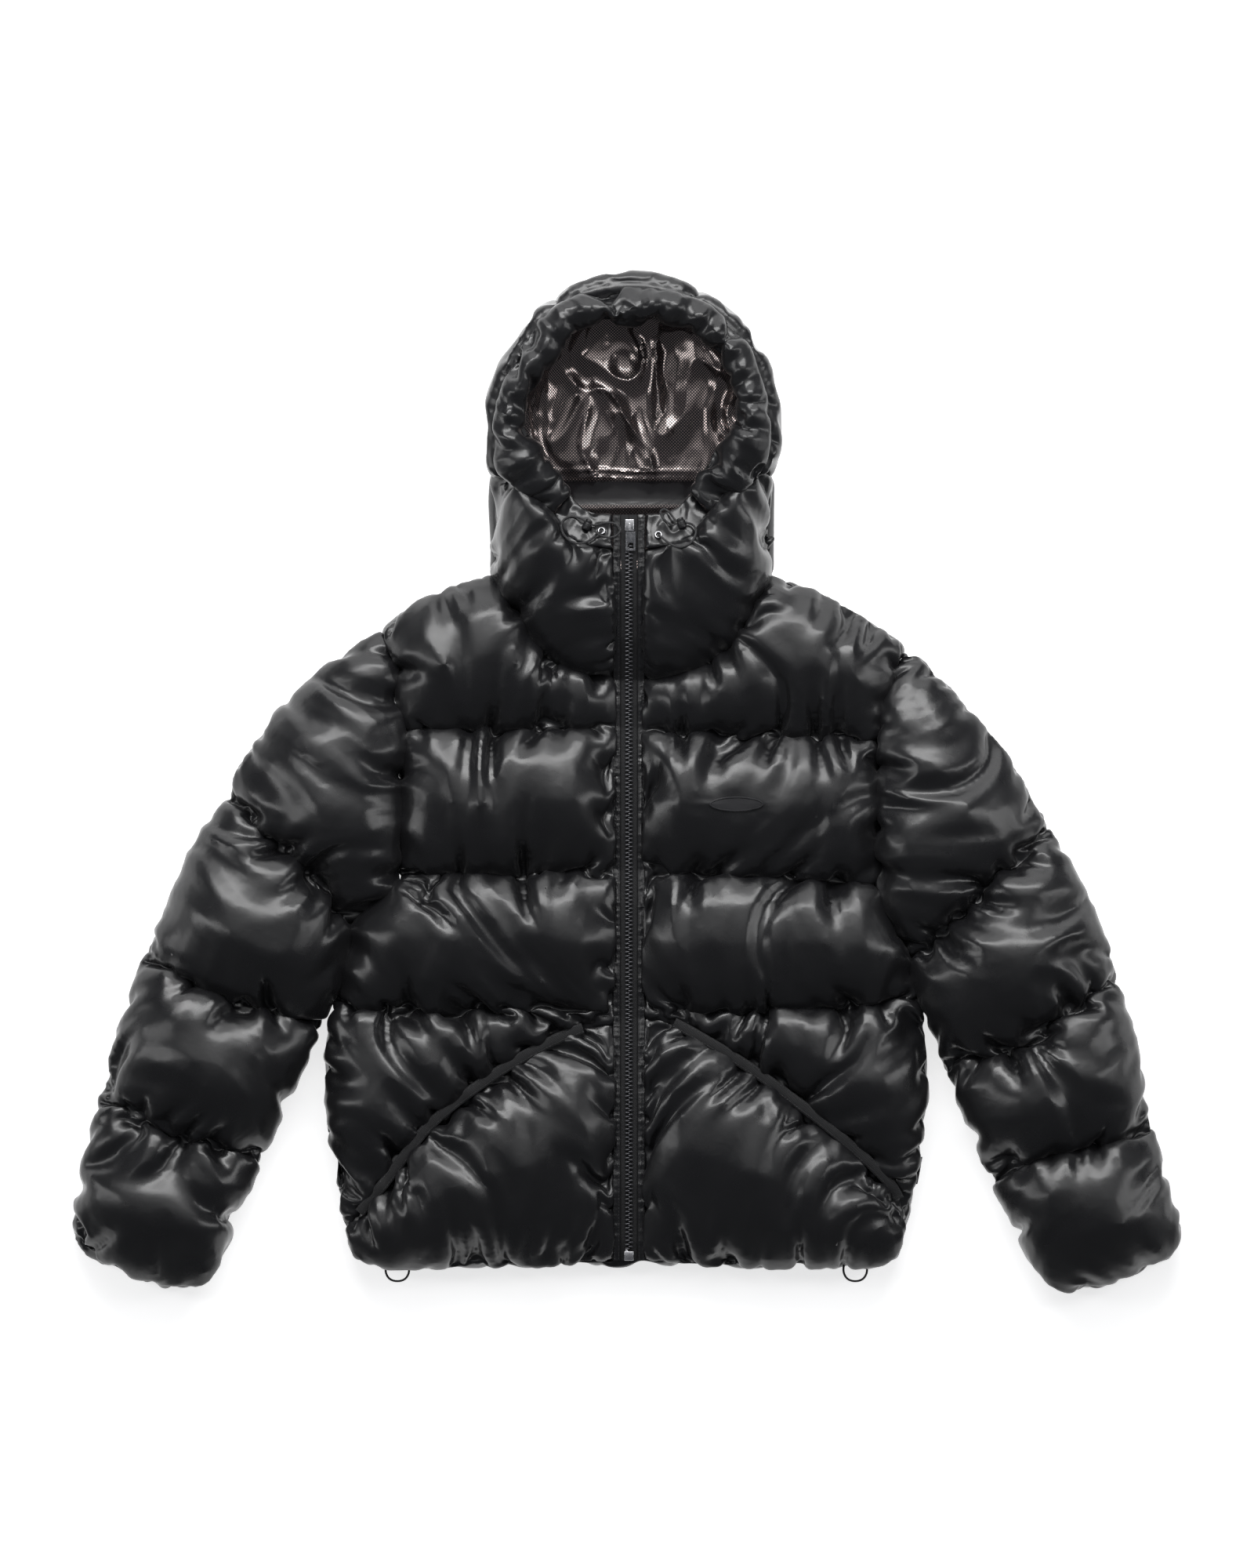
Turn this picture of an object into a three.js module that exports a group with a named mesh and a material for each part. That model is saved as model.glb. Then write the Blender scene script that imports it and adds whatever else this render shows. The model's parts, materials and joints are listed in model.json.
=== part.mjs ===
// Hooded puffer jacket laid flat on its back, front up, hood open, in millimetres.
// +X is the wearer's left, +Y runs from hem to hood, +Z is up from the surface it lies on.
// The zip is at x = 0, and the back's resting face is at z = 0.
import * as THREE from 'three';

// Levels of the layers as they lie
const BACK_TOP = 24;
const INSIDE_Z = 24.6;
const EDGE_Z = 27.5;
const QUILT_Z = 38;
const SEAM_GAP = 0.8;
const LAID_ON = 0.4;
const TOUCH = 0.3;

// Front opening
const PLACKET_IN = 8.3;
const PLACKET_OUT = 15.9;
const PLACKET = { middle: 12.2, top: 3, deep: 12, ridge: 0.8, dip: 0.6, inFall: 2, outFall: 1.5 };
const TAPE_THICK = 1;
const CHAIN_WIDTH = 7.7;
const CHAIN_HIGH = 2.3;
const CHAIN_GAP = 0.4;
const ZIP_BOTTOM = -474;
const ZIP_TOP = 268;
const BOX_TOP = -465;

// Small hardware
const PULL = {
  width: 10,
  length: 19,
  thick: 1.6,
  hole: 5.6,
  holeEdge: 1.8,
  top: 0.7,
  tilt: 4.5,
  x: 1.6,
  y: 250.5,
};
const SLIDER = { width: 9, x: 0.6, front: 251.8, back: 263.5, high: 4.6, pivot: 6 };
const ZIP_BOX = { width: 9.4, high: 3.6 };
const EYELET = { outer: 3.9, inner: 2.1, thick: 1.4 };
const LOCK = { radius: 4.3, neck: 3.1, half: 5.6, lift: 1.6 };
const LOCK_PLACES = { right: { x: -40.6, y: 258.6, turn: -25 }, left: { x: 51.6, y: 260.4, turn: 20 } };
const CORD = 2.2;
const PATCH = { x: 107, y: -20, length: 54, width: 15, thick: 1.4 };
const LABEL = { top: -371, length: 27, width: 6.5, thick: 1, gap: 0.5, z: 24, outerZ: 24.6 };
const BINDING = {
  width: 10,
  fold: 2.4,
  margin: 6.5,
  thick: 1.6,
  lift: 0.2,
  start: 0.08,
  end: 0.95,
  stations: 28,
};

// Underside of a plate that rests: how far each ring is drawn in, as a share of the inset
const PLATE_EDGE = [{ share: 1, z: 0 }, { share: 0.35, z: 4 }, { share: 0, z: 12 }];
const BACK_INSET = 4.5;
const NECK_BACK_INSET = 10;

// Rows across a baffle, as fractions from one quilting line to the next
const BAFFLE_ROWS = [0, 0.08, 0.24, 0.5, 0.76, 0.92, 1];
const FRONT_COLUMNS = 26;
const GATHER = { pitch: 24, height: 3.4, reach: 9 };

// Seam lines of each half, as [distance from the zip, y], from the zip outwards
const RIGHT_HALF = {
  sign: -1,
  neck: [[16.3, 107], [39, 109], [62, 117], [84, 130], [104, 155], [123, 186], [133, 203]],
  shoulder: [[133, 203], [169, 193], [207, 178], [245, 151]],
  chest: [[16.3, 57], [59, 56], [110, 55], [175, 53], [223, 54]],
  waist: [[16.3, -87], [83, -88], [140, -89], [198, -90], [224, -92]],
  hip: [[16.3, -228], [54, -227], [112, -225], [198, -229], [256, -226], [292, -216]],
  pocket: [[16.3, -240], [40, -241], [83, -259], [140, -293], [198, -339], [242, -395], [281, -442]],
  hem: [[16.3, -472], [60, -476], [150, -477.5], [243, -477], [271, -470]],
  sides: [
    { rows: 'chest', z: [30, 36], edge: [[245, 151], [230, 128], [226, 98], [223, 54]] },
    { rows: 'waist', z: [36, 36], edge: [[223, 54], [225, 10], [229, -40], [224, -92]] },
    { rows: 'hip', z: [36, 28], edge: [[224, -92], [271, -139], [290, -208], [292, -216]] },
    { rows: 'pocket', z: [28, 28], edge: [[292, -216], [299, -250], [296, -310], [291, -378], [281, -442]] },
    { rows: 'hem', z: [28, 28], edge: [[281, -442], [271, -470]] },
  ],
};
const LEFT_HALF = {
  sign: 1,
  neck: [[16.3, 105], [51, 111], [75, 119], [94, 129], [108, 142], [119, 166], [138, 205]],
  shoulder: [[138, 205], [173, 193], [222, 168], [274, 135]],
  chest: [[16.3, 57], [51, 52], [108, 51], [168, 47], [213, 46], [250, 43]],
  waist: [[16.3, -84], [55, -91], [113, -91], [168, -94], [222, -100], [250, -105]],
  hip: [[16.3, -221], [55, -224], [113, -228], [156, -223], [243, -219], [291, -214]],
  pocket: [[16.3, -233], [37, -234], [98, -268], [156, -308], [214, -354], [260, -398], [274, -430]],
  hem: [[16.3, -472], [60, -477], [150, -477.5], [240, -477], [264, -470]],
  sides: [
    { rows: 'chest', z: [30, 36], edge: [[274, 135], [260, 112], [251, 85], [250, 43]] },
    { rows: 'waist', z: [36, 36], edge: [[250, 43], [248, 0], [247, -51], [250, -105]] },
    { rows: 'hip', z: [36, 28], edge: [[250, -105], [262, -148], [289, -207], [291, -214]] },
    { rows: 'pocket', z: [28, 28], edge: [[291, -214], [292, -300], [290, -339], [284, -378], [274, -430]] },
    { rows: 'hem', z: [28, 28], edge: [[274, -430], [264, -470]] },
  ],
};

// Baffles of the front: the line above, the line below, the heights there and the crown
const FRONT_BAFFLES = [
  { above: 'top', below: 'chest', from: QUILT_Z, to: QUILT_Z, crown: 66 },
  { above: 'chest', below: 'waist', from: QUILT_Z, to: QUILT_Z, crown: 70 },
  { above: 'waist', below: 'hip', from: QUILT_Z, to: QUILT_Z, crown: 70 },
  { above: 'hip', below: 'pocket', from: QUILT_Z, to: QUILT_Z, crown: 64 },
];
const POCKET_BAFFLE = { above: 'pocket', below: 'hem', from: QUILT_Z, to: 28, crown: 66 };

// Seam lines of each sleeve, outer edge first, with the height of the cloth along them
const RIGHT_SLEEVE = {
  sign: -1,
  lines: [
    {
      z: 38,
      path: [
        [246, 151], [231, 128], [227, 98], [224, 54],
        [226, 10], [230, -40], [225.5, -92], [272, -139],
      ],
    },
    { z: 46, path: [[393, -12], [366, -49], [317, -88], [276, -142]] },
    { z: 48, path: [[475, -169], [432, -200], [388, -218], [356, -227], [307, -231]] },
    { z: 46, path: [[519, -304], [493, -328], [454, -348], [410, -360], [368, -367]] },
    { z: 36, path: [[550, -446], [544, -462], [493, -490], [454, -498], [424, -498], [411, -474]] },
  ],
  outer: [
    [[246, 151], [281, 129], [326, 90], [363, 51], [388, 12], [393, -12]],
    [[393, -12], [423, -47], [448, -105], [472, -162], [475, -169]],
    [[475, -169], [495, -222], [519, -304]],
    [[519, -304], [537, -378], [550, -446]],
  ],
  inner: [
    [[272, -139], [276, -142]],
    [[276, -142], [292.5, -209], [302, -222], [307, -231]],
    [[307, -231], [320, -261], [335, -300], [354, -339], [368, -367]],
    [[368, -367], [388, -417], [404, -456], [411, -474]],
  ],
};
const LEFT_SLEEVE = {
  sign: 1,
  lines: [
    {
      z: 38,
      path: [
        [275, 135], [261, 112], [252, 85], [251, 43],
        [249, 0], [248, -51], [251.5, -105], [263.5, -148],
      ],
    },
    { z: 46, path: [[416, -48], [399, -65], [361, -98], [320, -140], [278, -178]] },
    { z: 48, path: [[480, -190], [462, -209], [427, -232], [399, -257], [365, -271], [314, -273]] },
    { z: 46, path: [[517, -346], [480, -356], [445, -364], [410, -372], [361, -384]] },
    {
      z: 36,
      path: [
        [547, -447], [541, -466], [523, -478], [472, -495],
        [443, -503], [425, -502], [408, -480],
      ],
    },
  ],
  outer: [
    [[275, 135], [303, 109], [339, 70], [370, 31], [395, -8], [416, -48]],
    [[416, -48], [438, -86], [457, -125], [472, -164], [480, -190]],
    [[480, -190], [495, -242], [506, -281], [517, -346]],
    [[517, -346], [527, -378], [537, -417], [547, -447]],
  ],
  inner: [
    [[263.5, -148], [278, -178]],
    [[278, -178], [291.5, -207], [297, -222], [311, -261], [314, -273]],
    [[314, -273], [336, -320], [352, -359], [361, -384]],
    [[361, -384], [387, -437], [408, -480]],
  ],
};
const SLEEVE_CROWNS = [80, 82, 80, 70];
const SLEEVE_ROWS = [0, 0.1, 0.3, 0.62, 0.88, 1];
const SLEEVE = { top: 21, edge: 26, round: 2.4, fall: 0.62, slit: 1.5, slitZ: 24.4, slitWidth: 0.78 };
const SLEEVE_UNDER = [
  { across: 0.02, z: 11 },
  { across: 0.07, z: 3 },
  { across: 0.13, z: 0 },
  { across: 0.4, z: 0 },
  { across: 0.64, z: 0 },
  { across: 0.87, z: 0 },
  { across: 0.93, z: 3 },
  { across: 0.98, z: 11 },
];

// Largest folds that run across the baffles, as they lie
const FOLDS = [
  { from: [-196, 128], to: [-120, 70], height: 5, width: 9 },
  { from: [-118, 120], to: [-92, 72], height: 5, width: 8 },
  { from: [-176, 40], to: [-128, -62], height: 5, width: 11 },
  { from: [-96, 34], to: [-60, -58], height: 4, width: 10 },
  { from: [-214, -8], to: [-188, -80], height: 4, width: 9 },
  { from: [-150, -104], to: [-196, -196], height: 5, width: 11 },
  { from: [-84, -104], to: [-118, -190], height: 4, width: 10 },
  { from: [-220, -250], to: [-262, -350], height: 5, width: 11 },
  { from: [-128, -330], to: [-150, -440], height: 6, width: 13 },
  { from: [-60, -300], to: [-92, -380], height: 4, width: 10 },
  { from: [66, 100], to: [128, 64], height: 4, width: 9 },
  { from: [180, 120], to: [210, 60], height: 4, width: 9 },
  { from: [70, 30], to: [58, -50], height: 4, width: 10 },
  { from: [196, 20], to: [214, -70], height: 5, width: 11 },
  { from: [92, -110], to: [60, -190], height: 4, width: 10 },
  { from: [176, -112], to: [214, -196], height: 5, width: 11 },
  { from: [232, -236], to: [262, -350], height: 5, width: 11 },
  { from: [96, -320], to: [140, -430], height: 6, width: 13 },
  { from: [-330, -60], to: [-290, -10], height: 5, width: 11 },
  { from: [-440, -120], to: [-330, -190], height: 6, width: 13 },
  { from: [-470, -250], to: [-400, -320], height: 6, width: 13 },
  { from: [-520, -400], to: [-440, -430], height: 5, width: 12 },
  { from: [300, 20], to: [350, -50], height: 5, width: 11 },
  { from: [330, -170], to: [430, -140], height: 6, width: 13 },
  { from: [470, -260], to: [400, -330], height: 6, width: 13 },
  { from: [420, -410], to: [500, -440], height: 6, width: 12 },
];

// Hood as it stands open: its centre, and radii of the opening and of the outline by angle from +Y
const HOOD = {
  x: 2,
  y: 365,
  turn: 30,
  brimEnd: 140,
  sideEnd: 113,
  gussetLeft: 28.4,
  gussetRight: 32.7,
  floor: 336.6,
  wall: 13,
  squeeze: 35,
  rib: 0.02,
};
const HOOD_RADII = [
  { degrees: -180, opening: 94, brim: 126, outline: 150 },
  { degrees: -140, opening: 94, brim: 126, outline: 176 },
  { degrees: -127, opening: 94, brim: 127, outline: 164 },
  { degrees: -113, opening: 96, brim: 140, outline: 149 },
  { degrees: -90, opening: 110, brim: 131, outline: 140 },
  { degrees: -72, opening: 106, brim: 126, outline: 134 },
  { degrees: -54, opening: 99, brim: 127, outline: 135 },
  { degrees: -34, opening: 108, brim: 129, outline: 137 },
  { degrees: -15, opening: 101, brim: 126, outline: 139 },
  { degrees: 0, opening: 93, brim: 125, outline: 140 },
  { degrees: 15, opening: 102, brim: 126, outline: 139 },
  { degrees: 32, opening: 111, brim: 130, outline: 139 },
  { degrees: 56, opening: 111, brim: 132, outline: 141 },
  { degrees: 75, opening: 113, brim: 131, outline: 140 },
  { degrees: 90, opening: 111, brim: 132, outline: 141 },
  { degrees: 113, opening: 93, brim: 141, outline: 150 },
  { degrees: 127, opening: 89, brim: 124, outline: 166 },
  { degrees: 140, opening: 93, brim: 125, outline: 178 },
  { degrees: 180, opening: 94, brim: 126, outline: 150 },
];
const HOOD_WALL = [
  { in: 8.5, z: 84.5, liningIn: 13, liningZ: 84.5 },
  { in: 8.5, z: 90, liningIn: 13.3, liningZ: 80 },
  { in: 4, z: 88, liningIn: 14, liningZ: 70 },
  { in: 0.5, z: 72, liningIn: 16, liningZ: 56 },
  { in: 0, z: 52, liningIn: 20, liningZ: 44 },
  { in: 4, z: 28, liningIn: 26, liningZ: 34 },
  { in: 16, z: 8, liningIn: 34, liningZ: 27 },
  { in: 30, z: 0, liningIn: 46, liningZ: 24 },
];
// Height above which the side of the hood has no ribs
const HOOD_RIM_Z = 80;
const BRIM_SECTION = [
  { across: 0, z: 79 },
  { across: 0.04, z: 92 },
  { across: 0.2, z: 104 },
  { across: 0.45, z: 110 },
  { across: 0.72, z: 107 },
  { across: 0.92, z: 99 },
  { across: 1, z: 92 },
  { across: 1, z: 86 },
];
// Distance along the brim for each degree round the hood
const BRIM_GATHER_SPREAD = 2.1;
const LINING_WALL = [
  { fromOutline: 0, z: 77 },
  { fromOutline: 21, z: 62 },
  { fromOutline: 25, z: 46 },
  { fromOutline: 36, z: 33 },
  { fromOutline: 54, z: 24.6 },
];
const LINING_NECK = [
  { radius: 150, z: 26 },
  { radius: 132, z: 25.6 },
  { radius: 114, z: 25.2 },
  { radius: 96, z: 25 },
  { radius: 80, z: 24.6 },
];
const LINING = { thick: 1.4, neckFrom: 118, neckFull: 132, centre: 40, floor: 24.5, lip: 1.6 };

// Stand of the neck under the hood
const NECK_ROWS = [
  { along: 0, z: 38 },
  { along: 0.08, z: 55 },
  { along: 0.22, z: 72 },
  { along: 0.42, z: 85 },
  { along: 0.65, z: 91 },
  { along: 0.86, z: 92 },
  { along: 1, z: 90 },
];
const NECK = { wall: 15, columns: 18, round: 46, facingZ: 91.5, facingSlope: 0.33, facingWall: 3.5 };
const NECK_TOP = [[16.3, 233], [45, 237], [68, 246]];
const NECK_BACK = { right: [-133.5, 204.4], left: [138.5, 206.4], gap: 0.4 };

// Facing at the top of the neck, up to the points where it meets the brim
const FACING_LOWER = [[16.3, 233.8], [45, 237.8], [66, 247.2]];
const FACING_UPPER = [[16.3, 269], [35, 270], [50, 277]];
const FACING_LAP = 2;

// Height of the zip tape's face along the front opening
const ZIP_HEIGHTS = [
  { y: -476, z: 28 },
  { y: -455, z: 35 },
  { y: -400, z: 41 },
  { y: -310, z: 41 },
  { y: -232, z: 37 },
  { y: -195, z: 41 },
  { y: -120, z: 41 },
  { y: -86, z: 37 },
  { y: -50, z: 41 },
  { y: 20, z: 41 },
  { y: 56, z: 37 },
  { y: 80, z: 40 },
  { y: 104, z: 39 },
  { y: 122, z: 52 },
  { y: 146, z: 67 },
  { y: 178, z: 79 },
  { y: 210, z: 86 },
  { y: 238, z: 88 },
  { y: 270, z: 84 },
];

// Routes of the cords, as [x, y, height over the facing]
const RIGHT_CORD = [
  [-27.3, 252, 2.4], [-27.9, 251.6, 4.4], [-33, 247.6, 4.8], [-39.9, 242.1, 5.6], [-49.3, 239.2, 6.2],
  [-58.7, 242.1, 6.2], [-65.5, 249.4, 5.2], [-67.2, 257.7, 3.4], [-63.9, 263.8, 3], [-56.6, 266.1, 3.4],
  [-47.4, 264, 5.6],
];
const RIGHT_CORD_END = [
  [-34.2, 257.6, 6.2], [-25.2, 259.6, 6.4], [-16.9, 259.8, 7.8], [-11.1, 256.9, 8.4], [-8.8, 252, 8.6],
  [-12.7, 247.1, 8.4], [-20, 245.2, 8], [-28.6, 247.6, 8.4], [-34.6, 252, 6.8],
];
const LEFT_CORD = [
  [29.3, 248.1, 2.4], [29.9, 247.6, 4.4], [35, 243.4, 5.2], [42.7, 237.9, 6.6], [51, 235.8, 7.2],
  [59.4, 238.4, 6.8], [65.1, 245.2, 5.8], [66.7, 252.5, 4.6], [63.8, 257.6, 4.8], [58.2, 259.8, 5.8],
];
const LEFT_CORD_END = [
  [46.4, 262.4, 6], [40.6, 269.8, 6], [35.3, 273.4, 6.2], [31.4, 270.9, 6.4], [33.3, 265.4, 5.8],
  [38.5, 260.2, 5.6], [44.8, 257.2, 6],
];
const HEM_LOOP = [[-10.4, -476.5, 20], [-11.6, -485, 20], [-8, -492, 18], [0, -494.6, 17], [8, -492, 18],
  [11.6, -485, 20], [10.4, -476.5, 20]];
const HEM_LOOP_X = [{ name: 'right', x: -230.5 }, { name: 'left', x: 225.2 }];

const MATERIALS = {
  shell: new THREE.MeshStandardMaterial({ color: 0x17171a, roughness: 0.28, metalness: 0 }),
  trim: new THREE.MeshStandardMaterial({ color: 0x0c0c0e, roughness: 0.8, metalness: 0 }),
  lining: new THREE.MeshStandardMaterial({ color: 0x2a2526, roughness: 0.3, metalness: 0.4 }),
  metal: new THREE.MeshStandardMaterial({ color: 0xb9bbbd, roughness: 0.3, metalness: 1 }),
  plastic: new THREE.MeshStandardMaterial({ color: 0x101012, roughness: 0.5, metalness: 0 }),
};

const { lerp, clamp, smoothstep, degToRad } = THREE.MathUtils;

// Point at a fraction of the length of a short list of points
class Path {
  constructor(points, sign = 1) {
    this.points = points.map(([x, y]) => new THREE.Vector2(sign * x, y));
    this.reach = [0];
    for (let i = 1; i < this.points.length; i += 1) {
      this.reach.push(this.reach[i - 1] + this.points[i].distanceTo(this.points[i - 1]));
    }
    this.length = this.reach[this.reach.length - 1];
  }

  at(fraction) {
    const target = clamp(fraction, 0, 1) * this.length;
    let i = 1;
    while (i < this.points.length - 1 && this.reach[i] < target) {
      i += 1;
    }
    const share = (target - this.reach[i - 1]) / (this.reach[i] - this.reach[i - 1]);
    return this.points[i - 1].clone().lerp(this.points[i], share);
  }
}

// Path moved square to itself, towards +Y
function raised({ points }, distance) {
  return new Path(points.map((point, i) => {
    if (i === 0) {
      return [point.x, point.y + distance];
    }
    const after = points[Math.min(i + 1, points.length - 1)];
    const run = after.clone().sub(points[i - 1]).normalize();
    const way = Math.sign(run.x) * distance;
    return [point.x - run.y * way, point.y + run.x * way];
  }));
}

// Patch between two lines, whose two edges follow paths of their own
function patchPoint(patch, s, t) {
  const { above, below, start, end } = patch;
  const point = above.at(s).lerp(below.at(s), t);
  const startMove = start.at(t).sub(above.at(0).lerp(below.at(0), t));
  const endMove = end.at(t).sub(above.at(1).lerp(below.at(1), t));
  return point.addScaledVector(startMove, 1 - s).addScaledVector(endMove, s);
}

function straight(above, below, fraction) {
  const a = above.at(fraction);
  const b = below.at(fraction);
  return new Path([[a.x, a.y], [b.x, b.y]]);
}

function interpolate(table, key, value, field) {
  const i = clamp(table.findIndex((row) => row[key] >= value), 1, table.length - 1);
  const share = (value - table[i - 1][key]) / (table[i][key] - table[i - 1][key]);
  return lerp(table[i - 1][field], table[i][field], clamp(share, 0, 1));
}

// Gathers stand highest a little way from the stitching and die out over the baffle
function gather(along, fromSeam, seed) {
  const reach = fromSeam / GATHER.reach;
  const drift = 0.9 * Math.sin(along / (1.7 * GATHER.pitch) + 2 * seed);
  const wave = Math.sin((2 * Math.PI * along) / GATHER.pitch + seed + drift);
  return GATHER.height * reach * Math.exp(1 - reach) * wave;
}

function foldHeight(x, y) {
  return FOLDS.reduce((sum, fold) => {
    const from = new THREE.Vector2(...fold.from);
    const run = new THREE.Vector2(...fold.to).sub(from);
    const offset = new THREE.Vector2(x, y).sub(from);
    const share = clamp(offset.dot(run) / run.lengthSq(), 0, 1);
    const distance = offset.addScaledVector(run, -share).length() / fold.width;
    return sum + fold.height * Math.exp(-distance * distance);
  }, 0);
}

function puff(t) {
  return Math.sin(Math.PI * clamp(t, 0, 1)) ** 0.6;
}

function roundOver(distance, radius) {
  const rest = 1 - clamp(distance / radius, 0, 1);
  return Math.sqrt(1 - rest * rest);
}

// Closed solid from vertices and triangles, turned so that its faces point out
function solid(vertices, triangles) {
  const volume = triangles.reduce((sum, [a, b, c]) => {
    const cross = vertices[b].clone().cross(vertices[c]);
    return sum + vertices[a].dot(cross);
  }, 0);
  const faces = volume > 0 ? triangles : triangles.map(([a, b, c]) => [a, c, b]);
  const geometry = new THREE.BufferGeometry();
  geometry.setFromPoints(vertices);
  geometry.setIndex(faces.flat());
  geometry.computeVertexNormals();
  return geometry;
}

function quad(triangles, a, b, c, d) {
  triangles.push([a, b, c], [a, c, d]);
}

// Loft through closed rings, either capped at both ends or joined end to end
function loft(rings, ends) {
  const count = rings[0].length;
  const vertices = rings.flat();
  const triangles = [];
  const last = ends === 'joined' ? rings.length : rings.length - 1;
  for (let r = 0; r < last; r += 1) {
    const next = ((r + 1) % rings.length) * count;
    for (let c = 0; c < count; c += 1) {
      const side = (c + 1) % count;
      quad(triangles, r * count + c, r * count + side, next + side, next + c);
    }
  }
  if (ends !== 'joined') {
    const top = (rings.length - 1) * count;
    cap(rings[0], ends).forEach(([a, b, c]) => triangles.push([a, c, b]));
    cap(rings[rings.length - 1], ends).forEach(([a, b, c]) => triangles.push([top + a, top + b, top + c]));
  }
  return solid(vertices, triangles);
}

function cap(ring, kind) {
  return kind === 'flat' ? flatFaces(ring) : ring.slice(2).map((point, i) => [0, i + 1, i + 2]);
}

// Triangles of a level outline, turned the way that the outline runs
function flatFaces(outline) {
  const flat = outline.map(({ x, y }) => new THREE.Vector2(x, y));
  const faces = THREE.ShapeUtils.triangulateShape(flat, []);
  const area = (corners) => THREE.ShapeUtils.area(corners.map((index) => flat[index]));
  const filled = faces.reduce((sum, face) => sum + area(face), 0);
  const same = filled * THREE.ShapeUtils.area(flat) > 0;
  return same ? faces : faces.map(([a, b, c]) => [a, c, b]);
}

function gridTriangles(rows, columns, start, flip) {
  const triangles = [];
  for (let r = 0; r < rows - 1; r += 1) {
    for (let c = 0; c < columns - 1; c += 1) {
      const a = start + r * columns + c;
      if (flip) {
        quad(triangles, a, a + 1, a + columns + 1, a + columns);
      } else {
        quad(triangles, a, a + columns, a + columns + 1, a + 1);
      }
    }
  }
  return triangles;
}

function gridBorder(rows, columns) {
  const border = [];
  for (let c = 0; c < columns - 1; c += 1) {
    border.push(c);
  }
  for (let r = 0; r < rows - 1; r += 1) {
    border.push(r * columns + columns - 1);
  }
  for (let c = columns - 1; c > 0; c -= 1) {
    border.push((rows - 1) * columns + c);
  }
  for (let r = rows - 1; r > 0; r -= 1) {
    border.push(r * columns);
  }
  return border;
}

// Puffed panel over a plain level inside
function puffedPanel(grid, inside) {
  const rows = grid.length;
  const columns = grid[0].length;
  const border = gridBorder(rows, columns);
  const vertices = grid.flat();
  const first = vertices.length;
  border.forEach((index) => vertices.push(new THREE.Vector3(vertices[index].x, vertices[index].y, inside)));
  const triangles = gridTriangles(rows, columns, 0, false);
  border.forEach((index, i) => {
    const next = (i + 1) % border.length;
    quad(triangles, index, border[next], first + next, first + i);
  });
  flatFaces(border.map((index) => vertices[index])).forEach(([a, b, c]) => {
    triangles.push([first + a, first + b, first + c]);
  });
  return solid(vertices, triangles);
}

// Wall between an outer and an inner grid of the same size
function wall(outer, inner) {
  const rows = outer.length;
  const columns = outer[0].length;
  const vertices = [...outer.flat(), ...inner.flat()];
  const start = rows * columns;
  const triangles = gridTriangles(rows, columns, 0, false);
  triangles.push(...gridTriangles(rows, columns, start, true));
  const border = gridBorder(rows, columns);
  border.forEach((index, i) => {
    const next = border[(i + 1) % border.length];
    quad(triangles, index, next, start + next, start + index);
  });
  return solid(vertices, triangles);
}

// Padded plate that lies on the surface, drawn in along its underside
function restingPlate(outline, inset) {
  const ring = (points, z) => points.map((point) => new THREE.Vector3(point.x, point.y, z));
  return loft([
    ...PLATE_EDGE.map(({ share, z }) => ring(drawnIn(outline, inset * share), z)),
    ring(outline, BACK_TOP),
  ], 'flat');
}

function drawnIn(outline, distance) {
  const turn = THREE.ShapeUtils.isClockWise(outline) ? 1 : -1;
  return outline.map((point, i) => {
    const before = outline[(i + outline.length - 1) % outline.length];
    const after = outline[(i + 1) % outline.length];
    const run = after.clone().sub(before).normalize();
    return new THREE.Vector2(point.x + turn * run.y * distance, point.y - turn * run.x * distance);
  });
}

function buildHalf(half) {
  const path = (name) => new Path(half[name], half.sign);
  const lines = {
    top: new Path([...half.neck, ...half.shoulder.slice(1)], half.sign),
    neck: path('neck'),
    chest: path('chest'),
    waist: path('waist'),
    hip: path('hip'),
    pocket: path('pocket'),
    hem: path('hem'),
  };
  const sides = {};
  half.sides.forEach(({ rows, z, edge }) => {
    sides[rows] = { z, edge: new Path(edge, half.sign) };
  });
  return { sign: half.sign, lines, sides, shoulder: new Path(half.shoulder, half.sign) };
}

function bafflePatch(built, baffle) {
  const above = built.lines[baffle.above];
  const below = built.lines[baffle.below];
  const { edge, z } = built.sides[baffle.below];
  return { above, below, start: straight(above, below, 0), end: edge, sideZ: z };
}

function topLineZ(baffle, s) {
  return baffle.above === 'top' ? lerp(baffle.from, EDGE_Z + 1, smoothstep(s, 0.5, 0.62)) : baffle.from;
}

// Level margin that a baffle keeps under the pocket's binding, as a fraction of its length
function margin(line, length) {
  return line === 'pocket' ? Math.min(BINDING.margin / length, 0.3) : 0;
}

// Height of a baffle's outer face, lower at the zip, at the side and along its seams
function frontHeight(baffle, patch, s, t) {
  const length = patch.above.at(s).distanceTo(patch.below.at(s));
  const width = lerp(patch.above.length, patch.below.length, t);
  const seamZ = lerp(topLineZ(baffle, s), baffle.to, t);
  const flat = margin(baffle.above, length);
  const flatEnd = margin(baffle.below, length);
  const fromSeam = Math.min(t - flat, 1 - t - flatEnd) * length;
  const raised = clamp((t - flat) / (1 - flat - flatEnd), 0, 1);
  const crown = (baffle.crown - seamZ) * Math.min(1, length / 110) ** 0.8;
  const zipSide = lerp(0.25, 1, smoothstep(s * width, 0, 34));
  const point = patchPoint(patch, s, t);
  const relief = gather(s * width, Math.max(fromSeam, 0), baffle.crown + length / 40);
  const folds = foldHeight(point.x, point.y) * puff(raised);
  const face = seamZ + crown * puff(raised) * zipSide + (relief + folds) * Math.min(1, crown / 20);
  const sideZ = lerp(patch.sideZ[0], patch.sideZ[1], t);
  return lerp(sideZ, face, roundOver((1 - s) * width, 52));
}

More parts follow.
